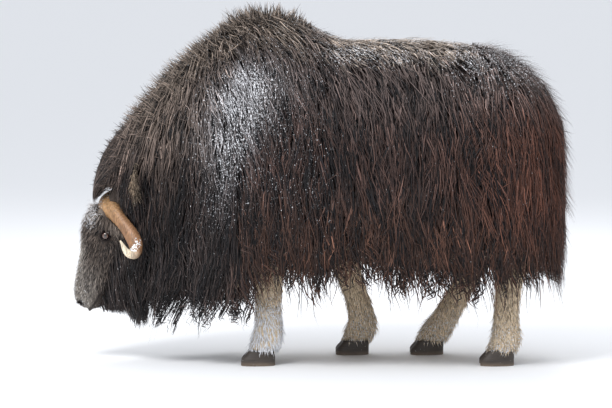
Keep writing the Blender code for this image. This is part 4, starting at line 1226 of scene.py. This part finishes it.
def growStrands(name):
    sizes = strands[name]
    count = sizes["tufts"]
    column = chance.uniform(*sizes["columns"], count)
    side = randomSides(count)
    length = chance.uniform(*sizes["length"], count)
    whole = sectionLength(column)
    if name == "hemWisps":
        least, most = sizes["pastHem"]
        drop = whole - length + least + (most - least) * chance.uniform(0, 1, count) ** 2
    else:
        drop = chance.uniform(0.16, np.maximum(whole - length - 0.02, 0.20), count)
    t = ringSteps(sizes)
    turns = chance.uniform(4, 8, count) + 8.0 * np.maximum(length - 0.25, 0.0)
    swing = chance.uniform(*sizes["wave"], count)[:, None]
    curl = swing * np.sin(turns[:, None] * t + chance.uniform(0, 6.3, count)[:, None]) * np.sqrt(t)
    lean = lieAngle(column, drop) * 0.7 + chance.normal(0.03, 0.13, count)
    at = np.maximum(column[:, None] + (length * lean)[:, None] * t + curl, coat["front"])
    down = drop[:, None] + length[:, None] * t
    further = 0.016 * smoothStep(column, 0.75, 1.0) if name == "hemWisps" else 0.002
    stand = (chance.uniform(-0.010, 0.012, count) + further)[:, None]
    rise = -0.014 * (1 - t) + stand * t
    paths, normal, roots = alongCoat(column, drop, side, at, down, rise, whole[:, None] - 0.03)
    light, share = trunkLook(colourPlaces(paths))
    look = light, share + sizes["lighter"]
    growHair(name, sizes, paths, normal, trunkSnow(paths) * 0.8, roots, look, (0.7, 1.3))


for name in strands:
    growStrands(name)

# The fringe: a mop from the poll that runs forward and down over the brow, as far as the horns' bosses
fringe = {"tufts": 2100, "rings": 6, "width": 0.0048, "length": (0.09, 0.20), "lowest": 0.640, "front": -0.876}


def growFringe():
    count = fringe["tufts"]
    start = chance.uniform(-0.872, -0.745, count)
    aside = chance.uniform(-1.0, 1.0, count)
    length = chance.uniform(*fringe["length"], count)[:, None]
    t = ringSteps(fringe)
    at = start[:, None] - 0.62 * length * t + 0.006 * np.sin(7 * t + chance.uniform(0, 6.3, count)[:, None]) * t
    surplus = np.maximum(fringe["front"] - at, 0.0)
    at = at + 0.93 * surplus
    row = smoothTable(coat["rows"], at)
    crest, half, foot = row[..., 0], np.maximum(row[..., 1], 0.105), np.maximum(row[..., 2], 0.66)
    aside = np.clip(aside[:, None] + chance.normal(0, 0.10, count)[:, None] * t, -0.97, 0.97)
    rise = np.sqrt(1.0 - aside**2)
    depth = chance.uniform(-0.004, 0.022, count)[:, None] + 0.045 * (1.0 - smoothStep(t, 0.0, 0.4))
    height = foot + (crest - foot - depth) * rise - 1.15 * surplus - 0.05 * t * length
    paths = np.stack([at + depth * 0.5, aside * (half - 0.4 * depth), height], -1)
    lowest = fringe["lowest"] + chance.uniform(-0.010, 0.028, count)[:, None]
    margin = chance.uniform(-0.020, 0.003, count)[:, None]
    paths, keep = trimmed(paths, (paths[..., 2] > lowest) & clearOfHorns(paths, margin))
    paths, aside, start = paths[keep], aside[keep], start[keep]
    out = np.stack([-0.6 * np.ones(aside.shape), aside, rise[keep]], -1)
    roots = coatRoots(start, np.abs(aside[:, 0]) * 0.14, aside[:, 0])
    growHair("fringe", fringe, paths, unit(out), 0.08, roots, trunkLook(paths))


growFringe()

# The beard under the jaw and down the throat's front
beard = {
    "locks": 165, "tuftsPerLock": 14, "rings": 6, "width": 0.0054, "length": 0.26, "lowest": 0.178,
    # By height: how far to the sides it grows, and how far ahead of the throat line
    "aside": ((0.2, 0.085), (0.45, 0.115), (0.6, 0.125)),
    "ahead": ((0.24, 0.065), (0.36, 0.0), (0.46, -0.035)),
}


def growBeard():
    locks = beard["locks"]
    z = chance.uniform(0.22, 0.62, locks)
    y = chance.uniform(-1.0, 1.0, locks)
    y = np.sign(y) * np.abs(y) ** 0.8 * profile(z, beard["aside"])
    ahead = chance.uniform(-0.045, 1.0, locks) * profile(z, beard["ahead"])
    length = beard["length"] * chance.uniform(0.7, 1.2, locks)
    length = np.minimum(length, z - beard["lowest"] + chance.uniform(-0.012, 0.04, locks))
    of = np.repeat(np.arange(locks), beard["tuftsPerLock"])
    count = len(of)
    spread = chance.normal(0, 0.016, (count, 1, 3))
    t = ringSteps(beard)
    length = np.maximum(length, 0.05)[of] * chance.uniform(0.8, 1.05, count)
    y, z = y[of][:, None], z[of][:, None]
    height = z + spread[..., 2] - length[:, None] * t
    bulge = 0.022 * np.sin(np.pi * np.minimum(t * 1.3, 1.0)) * np.minimum(np.abs(y) / 0.08, 1.0)
    aside = y + spread[..., 1] * (1.0 - 0.65 * t) + np.sign(y) * bulge
    wave = 0.005 * np.sin(8 * t + chance.uniform(0, 6.3, locks)[of][:, None]) * t
    x = throatLine(height) - ahead[of][:, None] - 0.012 * t + spread[..., 0] * (1 - 0.6 * t) + wave
    paths = np.stack([x, aside, height], -1)
    paths, keep = trimmed(paths, clearOfHorns(paths))
    paths, out = paths[keep], np.zeros_like(paths[keep])
    out[..., 0] = -0.45
    out[..., 1] = np.sign(y)[keep]
    look = layered(paths.shape[:2], "beard", 0.20, ())
    growHair("beard", beard, paths, unit(out), 0.12, headRoots(paths[:, 0]), look)


growBeard()

# Hair under the belly
belly = {"tufts": 1800, "rings": 5, "width": 0.0085, "length": 0.085}


def growBelly():
    count = belly["tufts"]
    x = chance.uniform(-0.68, 0.90, count)
    share = np.clip((x - coat["rumpStart"]) / coat["rumpReach"], 0, 0.98)
    row = smoothTable(coat["rows"], x)
    power = coat["rumpRoundness"]
    half = (row[:, 4] - coat["skinInset"]) * (1 - share**power) ** (1 / power)
    y = chance.uniform(-1, 1, count) * half * 0.97
    z = np.maximum(row[:, 5] + coat["rumpHemRise"] * share + coat["skinRise"], 0.30) + 0.014
    keep = np.ones(count, bool)
    for side, rows in legs.values():
        at = refined(rows, 6)
        for cx, cy, _, a, b in at[(at[:, 2] > 0.28) & (at[:, 2] < 0.52)]:
            keep &= ((x - cx) / (a + 0.004)) ** 2 + ((y - side * cy) / (b + 0.004)) ** 2 > 1.0
    x, y, z = x[keep], y[keep], z[keep]
    count = len(x)
    t = ringSteps(belly)
    length = (belly["length"] * chance.uniform(0.6, 1.3, count))[:, None]
    lean = chance.normal(0.015, 0.018, (count, 2))
    along, aside = x[:, None] + lean[:, :1] * t * 1.5, y[:, None] + lean[:, 1:] * t
    paths = np.stack([along, aside, z[:, None] - length * t], -1)
    out = np.zeros_like(paths)
    out[..., :2] = chance.normal(0, 1, (count, 1, 2))
    roots = np.stack([0.62 + 0.16 * (x + 0.7) / 1.7, 0.90 + 0.08 * (y + 0.4) / 0.8], -1)
    look = layered(paths.shape[:2], "lowFlank", 0.2, ())
    growHair("bellyHair", belly, paths, unit(out), 0.0, roots, look, (0.8, 1.2))


growBelly()

# The short tail, hidden in the rump's hair but for its tuft
tail = {"tufts": 260, "rings": 5, "width": 0.0050, "length": (0.10, 0.20)}


def growTail():
    count = tail["tufts"]
    x = chance.uniform(0.870, 0.945, count)
    y = chance.normal(0, 0.022, count)
    z = 0.985 - 0.55 * (x - 0.87) + chance.uniform(-0.01, 0.01, count)
    t = ringSteps(tail)
    length = chance.uniform(*tail["length"], count)[:, None]
    out = chance.uniform(0.000, 0.016, count)[:, None]
    back = x[:, None] + out * np.sin(np.pi * np.minimum(1.2 * t, 1))
    aside = y[:, None] * (1 + 0.6 * np.sin(np.pi * t))
    paths = np.stack([back, aside, z[:, None] - length * t], -1)
    way = np.zeros_like(paths)
    way[..., 0] = 1.0
    way[..., 1] = 30 * y[:, None]
    roots = coatRoots(1.15 + 0 * x, 0.30 + x - 0.88, y)
    growHair("tailTuft", tail, paths, unit(way), 0.0, roots, trunkLook(paths))


growTail()
tell("fringe, beard, belly and tail grown")


# Random places on a surface, thicker where the weight is higher, with their normals
def scatter(points, triangles, weight, count):
    corners = points[triangles]
    area = np.linalg.norm(np.cross(corners[:, 1] - corners[:, 0], corners[:, 2] - corners[:, 0]), axis=1)
    odds = area * weight[triangles].mean(1)
    chosen = chance.choice(len(triangles), count, p=odds / odds.sum())
    u, v = chance.uniform(0, 1, (2, count))
    over = u + v > 1
    u, v = np.where(over, 1 - u, u), np.where(over, 1 - v, v)
    w = np.stack([1 - u - v, u, v], 1)[..., None]
    normals = pointNormals(points, triangles)[triangles[chosen]]
    return (corners[chosen] * w).sum(1), unit((normals * w).sum(1))


# Short tufts that lie along the flow, close to the skin
def shortTufts(name, places, normals, flow, length, width, look, dusting, roots, lift,
               rings=4, droop=0.0, noise=(0.26, 0.20)):
    shape = len(places), rings
    flow = flow - normals * (flow * normals).sum(1, keepdims=True)
    flow = unit(unit(flow) + chance.normal(0, 0.20, flow.shape))
    normals, length = normals[:, None], length[:, None, None]
    t = np.linspace(0, 1, rings)[None, :, None]
    rise = lift[:, None, None] * np.sin(0.5 * np.pi * np.minimum(t * 1.6, 1.0)) * length
    paths = places[:, None] - normals * 0.0015 + flow[:, None] * length * t + normals * rise
    paths[..., 2] -= (droop * length * t**2)[..., 0]
    keep = clearOfHorns(paths).all(1)
    widths = tuftWidths(width, rings, root=0.7, peak=0.45)[keep]
    out = np.broadcast_to(normals, paths.shape)[keep]
    look = np.broadcast_to(look[0][:, None], paths.shape)[keep], np.broadcast_to(look[1][:, None], shape)[keep]
    dusting = np.broadcast_to(np.asarray(dusting).reshape(-1, 1), shape)[keep]
    noise = strandNoise(int(keep.sum()), *noise)
    tuftObject(name, paths[keep], out, widths, look, dusting, roots[keep], shortHair, noise, 0.25)


# The hair of the face, with its lengths and widths down the face: long on the brow, short on the muzzle
faceHair = {
    "tufts": 10800,
    "width": 0.0033,
    "lengths": ((0.0, 0.046), (0.10, 0.036), (0.20, 0.028), (0.32, 0.024), (0.40, 0.014), (0.45, 0.008)),
    "widths": ((0.0, 1.2), (0.3, 1.0), (0.45, 0.7)),
}


def growFace():
    s, n, y = facePlace(headPoints)
    weight = np.ones(len(headPoints))
    # No hair on the eyes, in the nostrils, on the lips' edge or under the mane
    eyeS, eyeN, eyeY = head["eye"]
    weight[(((s - eyeS) / 0.0235) ** 2 + ((n - eyeN) / 0.0215) ** 2 < 1.0) & (y > 0.06)] = 0.0
    noseS, noseN, noseY = head["nostril"]
    weight[nearest(np.stack([s, n, y], 1), [np.array((noseS + 0.004, noseN, noseY + 0.006))]) < 0.0130] = 0.0
    weight[mouthGap(headPoints) < 0.0035] = 0.0
    weight[hornGap(headPoints) < 0.002] = 0.0
    weight[headPoints[:, 0] > throatLine(headPoints[:, 2]) + 0.02] = 0.0
    weight *= 1.0 - 0.6 * smoothStep(-n, 0.05, 0.09)
    places, normals = scatter(headPoints, headTriangles, weight, faceHair["tufts"])
    count = len(places)
    s, n, _ = facePlace(places)
    # Hair runs down the face, away from the eyes, and back along the cheek.
    flow = np.broadcast_to(np.array(faceDown), places.shape).copy()
    flow[:, 0] += 0.35 * smoothStep(-n, 0.0, 0.08)
    centres = np.stack([headSpot(eyeS, eyeN, eyeY), headSpot(eyeS, eyeN, -eyeY)])
    away = places - centres[(places[:, 1] < 0).astype(int)]
    near = np.exp(-((np.linalg.norm(away, axis=1) / 0.040) ** 2))
    flow = flow * (1.0 - 0.75 * near[:, None]) + unit(away) * 1.1 * near[:, None]
    length = profile(s, faceHair["lengths"]) * (1.0 - 0.62 * near) * chance.uniform(0.7, 1.3, count)
    # It stops short of the mouth.
    room = 0.8 * np.maximum(nearest(places, mouthLine(0.0)) - 0.002, 0.0)
    length = np.minimum(length, 0.004 + room + 0.3 * smoothStep(-s, -0.36, -0.30))
    width = faceHair["width"] * profile(s, faceHair["widths"]) * chance.uniform(0.8, 1.2, count)
    light, share = faceLook(places)
    rims = 0.8 * rimShare(places)[:, None]
    light = light * (1 - rims) + markings["rim"] * rims
    # Snow lies on the brow, the muzzle and the bridge.
    dusting = 0.42 * smoothStep(-s, -0.14, -0.08) * smoothStep(n, 0.015, 0.045)
    dusting += 0.26 * smoothStep(s, 0.24, 0.42) * smoothStep(n, -0.04, 0.03)
    dusting += 0.20 * smoothStep(n, 0.045, 0.065) * smoothStep(s, 0.1, 0.2)
    lift = (0.20 + 0.14 * smoothStep(-s, -0.30, -0.06) * smoothStep(n, -0.01, 0.04)) * (1 - 0.5 * near)
    shortTufts("faceHair", places, normals, flow, length, width, (light, share), dusting + 0.06,
               headRoots(places), lift, droop=0.10)


growFace()

# Long hair of the cheeks and the jaw, which hangs to the beard
cheek = {
    "tufts": 3000, "rings": 6, "width": 0.0052, "lift": 0.022,
    # Lengths down the face, and the height where the hair ends by x
    "lengths": ((0.10, 0.12), (0.20, 0.17), (0.30, 0.16), (0.38, 0.11), (0.44, 0.05)),
    "lowest": ((-0.95, 0.245), (-0.92, 0.225), (-0.86, 0.200), (-0.80, 0.186), (-0.74, 0.178)),
}


def growCheeks():
    s, n, _ = facePlace(headPoints)
    weight = smoothStep(-n, 0.040, 0.075) * smoothStep(s, 0.105, 0.150) * smoothStep(-s, -0.440, -0.400)
    weight += 1.6 * smoothStep(-n, 0.050, 0.075) * smoothStep(s, 0.20, 0.30) * smoothStep(-s, -0.44, -0.42)
    weight[headPoints[:, 0] > throatLine(headPoints[:, 2]) + 0.03] = 0.0
    weight[mouthGap(headPoints) < 0.010] = 0.0
    eyeS, eyeN, eyeY = head["eye"]
    for side in (-1, 1):
        weight[nearest(headPoints, [headSpot(eyeS, eyeN, side * eyeY)]) < 0.034] = 0.0
    places, normals = scatter(headPoints, headTriangles, weight, cheek["tufts"])
    s, _, _ = facePlace(places)
    count = len(places)
    t = ringSteps(cheek)[..., None]
    length = profile(s, cheek["lengths"]) * chance.uniform(0.7, 1.25, count)
    lowest = profile(places[:, 0], cheek["lowest"]) + chance.uniform(-0.006, 0.024, count)
    length = np.clip(places[:, 2] - lowest, 0.012, length)[:, None, None]
    hang = np.stack([0.16 + chance.normal(0, 0.07, count), chance.normal(0, 0.06, count), -np.ones(count)], 1)
    lift = cheek["lift"] * chance.uniform(0.3, 1.2, count)[:, None, None]
    rise = lift * np.sin(0.5 * np.pi * np.minimum(1.8 * t, 1.0))
    paths = places[:, None] - normals[:, None] * 0.002 + normals[:, None] * rise + unit(hang)[:, None] * length * t
    paths[..., 0] += 0.005 * np.sin(7 * t[..., 0] + chance.uniform(0, 6.3, count)[:, None]) * t[..., 0]
    paths, keep = trimmed(paths, clearOfHorns(paths))
    paths, normals, places = paths[keep], normals[keep], places[keep]
    out = unit(np.broadcast_to(normals[:, None], paths.shape) + np.array([0.0, 0.0, 0.2]))
    s, _, _ = facePlace(paths)
    look = layered(s.shape, "beard", 0.24, (("face", 0.36, smoothStep(-s, -0.26, -0.14)),))
    growHair("cheekHair", cheek, paths, out, 0.12, headRoots(places), look)


growCheeks()


def growLegs():
    for k, (name, (side, rows)) in enumerate(legs.items()):
        rings = legRings(side, rows, legHair["depth"])
        points, triangles = evenSurface([extrudedBody("leg", rings)], 0.006, 2)
        weight = smoothStep(points[:, 2], 0.052, 0.060) * smoothStep(-points[:, 2], -0.56, -0.40)
        places, normals = scatter(points, triangles, weight, legHair["tufts"])
        count = len(places)
        x, y, z = places.T
        flow = np.broadcast_to([0.10, 0.0, -1.0], places.shape)
        length = legHair["length"] * profile(z, legHair["lengths"])
        length = np.minimum(length * chance.uniform(0.7, 1.3, count), np.maximum(z - 0.030, 0.012))
        centres = np.array([np.mean([p[0] for p in ring]) for ring in rings])
        heights = np.array([ring[0][2] for ring in rings])
        forward = np.interp(z, heights[::-1], centres[::-1]) - x
        # A darker front, and dark hair up under the skirt
        look = layered((count,), "leg", 1.0, (
            ("leg", 0.82, smoothStep(forward, 0.02, 0.05)),
            ("lowFlank", 0.5, smoothStep(z, 0.34, 0.50)),
        ))
        angle = np.arctan2(side * (y - side * 0.155), -forward)
        roots = np.stack([0.62 + 0.09 * k + 0.08 * (angle + np.pi) / (2 * np.pi), 0.56 + 0.32 * z / 0.7], -1)
        width = legHair["width"] * chance.uniform(0.8, 1.2, count)
        # Snow clings to the feet. The near front leg is painted whiter still low down: partly snow, partly painted
        # light for the light that this leg catches.
        dusting = 0.12 + 0.34 * smoothStep(-z, -0.30, -0.12)
        if name == "front_left":
            dusting = dusting + 0.42 * smoothStep(-z, -0.38, -0.20)
        shortTufts("legHair_" + name, places, normals, flow, length, width, look, dusting, roots,
                   np.full(count, 0.08), rings=3, noise=legHair["noise"])


growLegs()

earHair = {"tufts": 1500, "length": 0.045, "width": 0.0030, "lengths": ((0.66, 1.0), (0.78, 0.45))}


def growEars():
    weight = smoothStep(np.abs(earPoints[:, 1]), 0.13, 0.17)
    places, normals = scatter(earPoints, earTriangles, weight, earHair["tufts"])
    count = len(places)
    x, y, z = places.T
    side = np.sign(y)
    flow = np.stack([np.full(count, 0.25), side * 0.55, np.full(count, 0.5)], 1)
    length = earHair["length"] * chance.uniform(0.6, 1.2, count) * profile(z, earHair["lengths"])
    look = layered((count,), "ear", 0.30, (("ear", 0.95, smoothStep(-x, 0.704, 0.718)),))
    roots = np.stack([0.80 + 0.1 * (z - 0.6) / 0.2, np.where(side > 0, 0.30, 0.10) + 0.1 * (x + 0.75) / 0.1], -1)
    width = earHair["width"] * chance.uniform(0.8, 1.2, count)
    shortTufts("earHair", places, normals, flow, length, width, look, 0.0, roots,
               np.full(count, 0.12), droop=0.85)


growEars()
tell("short hair grown")


# Moves a finished piece to where the solids stand, and gives its points before that as an array
def settle(piece):
    points = np.empty(len(piece.data.vertices) * 3, np.float32)
    piece.data.vertices.foreach_get("co", points)
    points = points.reshape(-1, 3).astype(float)
    piece.location = shift
    selectOnly(piece)
    bpy.ops.object.transform_apply(location=True, rotation=False, scale=False)
    return points


hornColours = {"base": linear("#9C7852"), "middle": linear("#8A6547"), "tip": linear("#EADBC0")}


def makeHorn(side, word):
    rows = refined(horn["rows"], 12)
    t = np.linspace(0, 1, len(rows))
    swell = 1.0 + horn["ridge"] / 0.03 * np.sin(t * 150) * smoothStep(-t, -0.62, -0.30)
    stops = [(Vector((x, side * y, z)), one * w, other * w) for (x, y, z, one, other), w in zip(rows, swell)]
    piece = extrudedBody("horn" + word, tubeRings(stops, horn["sides"], Vector((-0.5, side, 0.35))))
    points = settle(piece)
    line = rows[:, :3] * np.array([1.0, side, 1.0])
    near = ((points[:, None] - line[None]) ** 2).sum(-1).argmin(1)
    t, above = near / (len(rows) - 1), (points - line[near])[:, 2]
    middle, tip = smoothStep(t, 0.15, 0.45)[:, None], smoothStep(t, 0.68, 0.92)[:, None]
    colours = hornColours["base"] * (1 - middle) + hornColours["middle"] * middle
    colours = colours * (1 - tip) + hornColours["tip"] * tip
    x, y, z = points.T
    colours = colours * (1.0 + 0.18 * np.sin(140 * x + 60 * z) * np.sin(90 * z - 40 * y))[:, None]
    # Snow lies in the hook and on the boss.
    dusting = 0.62 * smoothStep(above, 0.004, 0.014) * smoothStep(t, 0.50, 0.66) + 0.36 * smoothStep(-t, -0.26, -0.06)
    painted(piece, weatheredHorn, colours, dusting)
    selectOnly(piece)
    bpy.ops.object.shade_smooth_by_angle(angle=math.radians(50))
    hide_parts("horn_" + word.lower())


# The eyes: a dark brown iris with a long pupil, set so that only the lids' opening shows
eye = {
    "iris": linear("#5A4034"),
    "ring": linear("#241815"),
    "white": linear("#8E8078"),
    "pupil": linear("#0B0D12"),
    "cornea": 0.0008,
    "corneaRadius": 0.0125,
}


def makeEye(side, word):
    bpy.ops.object.select_all(action="DESELECT")
    s, n, y = head["eye"]
    centre = headPoint(s, n, side * y)
    radius = head["eyeRadius"] - eye["cornea"]
    bpy.ops.mesh.primitive_uv_sphere_add(
        segments=64, ring_count=40, radius=radius, location=centre, rotation=(0.5 * math.pi, 0, 0)
    )
    piece = bpy.context.object
    piece.name = "eye" + word
    bpy.ops.object.transform_apply(location=True, rotation=True, scale=True)
    bpy.ops.object.mode_set(mode="EDIT")
    shape = bmesh.from_edit_mesh(piece.data)
    for vertex in shape.verts:
        local = vertex.co - centre
        share = max(1.0 - (local.x**2 + local.z**2) / eye["corneaRadius"] ** 2, 0.0)
        bulge = share if local.y * side > 0.0 else 0.0
        vertex.co += local.normalized() * eye["cornea"] * 0.9 * bulge**0.5
    bmesh.update_edit_mesh(piece.data)
    bpy.ops.object.mode_set(mode="OBJECT")
    down, out = alongFace(settle(piece) - np.array(centre))
    around = np.hypot(down, out)[:, None]
    colours = np.broadcast_to(eye["iris"], (len(down), 3))
    for name, share in (
        ("ring", smoothStep(around, 0.0100, 0.0125)),
        ("white", smoothStep(around, 0.0155, 0.0170)),
        ("pupil", smoothStep(-np.hypot(down / 0.0070, out / 0.0040), -1.15, -0.85)[:, None]),
    ):
        colours = colours * (1 - share) + eye[name] * share
    painted(piece, wetEye, colours)
    selectOnly(piece)
    bpy.ops.object.shade_smooth()
    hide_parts("eye_" + word.lower())


for make in (makeHorn, makeEye):
    make(-1, "Left")
    make(1, "Right")

# The hooves: two toes a foot, with a worn pale edge
toe = {
    "length": 0.132,
    "width": 0.056,
    "height": 0.0557,
    "forward": 0.020,
    "spread": 0.0305,
    "splay": math.radians(5),
    "lean": 0.10,
    "squareness": 0.85,
}
hoofColours = {"wall": linear("#3A322C"), "edge": linear("#6A5C4E")}


def makeToe(place, turn, node):
    # A share of the toe's height, its size there and how far back it leans
    levels = [(0.0, 0.97, 0.0), (0.03, 1.0, 0.0)]
    for share in np.linspace(0.08, 0.97, 12):
        levels.append((share, 1.0 - 0.20 * smoothStep(share, 0.3, 1.05), toe["lean"] * smoothStep(share, 0.3, 1.0)))
    levels.append((1.0, 0.765, toe["lean"]))
    rings = []
    for share, size, back in levels:
        ring = []
        for a in turnsOf(40):
            x = (squared(math.cos(a), toe["squareness"]) * 0.5 * size + back) * toe["length"]
            y = math.sin(a) * 0.5 * toe["width"] * (0.55 + 0.45 * size)
            along, aside = x * math.cos(turn) - y * math.sin(turn), x * math.sin(turn) + y * math.cos(turn)
            ring.append(Vector((along, aside, share * toe["height"])) + place)
        rings.append(ring)
    piece = extrudedBody(node + "_horn", rings)
    worn = smoothStep(-settle(piece)[:, 2], -0.02, 0.0)[:, None]
    painted(piece, hoofHorn, hoofColours["wall"] * (1 - worn) + hoofColours["edge"] * worn, 0.10)
    selectOnly(piece)
    bpy.ops.object.shade_smooth_by_angle(angle=math.radians(40))
    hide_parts(node)


for name, (side, rows) in legs.items():
    x, y = rows[-1][0], side * rows[-1][1]
    for which, sign in (("outer", side), ("inner", -side)):
        place = Vector((x - toe["forward"], y + sign * toe["spread"], 0.0))
        makeToe(place, -sign * toe["splay"], "hoof_" + name + "_" + which)
tell("horns, eyes and hooves made")

# A plain pale floor and soft overcast light. The lamps: place, what it points at, size and watts
studio = {
    "floor": linear("#F0F1F3"),
    "floorSize": 400.0,
    "sky": linear("#F2F5FA"),
    "skyStrength": 0.95,
    "lamps": {
        "keyLight": ((-2.2, -3.4, 4.8), (0.0, 0.0, 0.7), 2.2, 250.0),
        "rimLight": ((0.8, 3.6, 4.4), (0.0, 0.0, 0.9), 2.5, 110.0),
    },
}
bpy.ops.object.select_all(action="DESELECT")
bpy.ops.mesh.primitive_plane_add(size=studio["floorSize"], location=(0.0, 0.0, 0.0))
floor = bpy.context.object
floor.name = "studioFloor"
# Matt white board: no gloss, so that only the soft shadows show on it
floorMaterial, tree, shader = newMaterial("matt white board", 0.9, Base_Color=(*studio["floor"], 1.0))
floor.data.materials.append(floorMaterial)
floor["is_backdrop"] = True
world = bpy.data.worlds.new("studio")
bpy.context.scene.world = world
world.use_nodes = True
background = world.node_tree.nodes["Background"]
background.inputs["Color"].default_value = (*studio["sky"], 1.0)
background.inputs["Strength"].default_value = studio["skyStrength"]


# Points a lamp or a camera
def aimed(way):
    return Vector(way).to_track_quat("-Z", "Y").to_euler()


for name, (place, target, size, watts) in studio["lamps"].items():
    data = bpy.data.lights.new(name, "AREA")
    data.shape = "SQUARE"
    data.size = size
    data.energy = watts
    light = bpy.data.objects.new(name, data)
    light.location = place
    light.rotation_euler = aimed(Vector(target) - Vector(place))
    bpy.context.scene.collection.objects.link(light)

# The camera: a long lens from the animal's left, looking slightly down
view = {
    "elevation": math.radians(5.0),
    "distance": 12.0,
    "metresAcross": 2.40,
    "sensorWidth": 36.0,
    "middle": Vector((-0.049, 0.0, 0.612)),
}
cameraData = bpy.data.cameras.new("camera")
cameraData.sensor_width = view["sensorWidth"]
cameraData.lens = view["sensorWidth"] * view["distance"] / view["metresAcross"]
cameraData.clip_end = 500.0
camera = bpy.data.objects.new("camera", cameraData)
bpy.context.scene.collection.objects.link(camera)
back = Vector((0.0, -math.cos(view["elevation"]), math.sin(view["elevation"])))
camera.location = view["middle"] + shift + back * view["distance"]
camera.rotation_euler = aimed(-back)
bpy.context.scene.camera = camera
bpy.context.scene.view_settings.view_transform = "Standard"

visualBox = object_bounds()
for words, box in (("model", visualBox), ("solids", solidBox)):
    tell(f"{words} {[round(high - low, 4) for low, high in zip(*box)]} m")
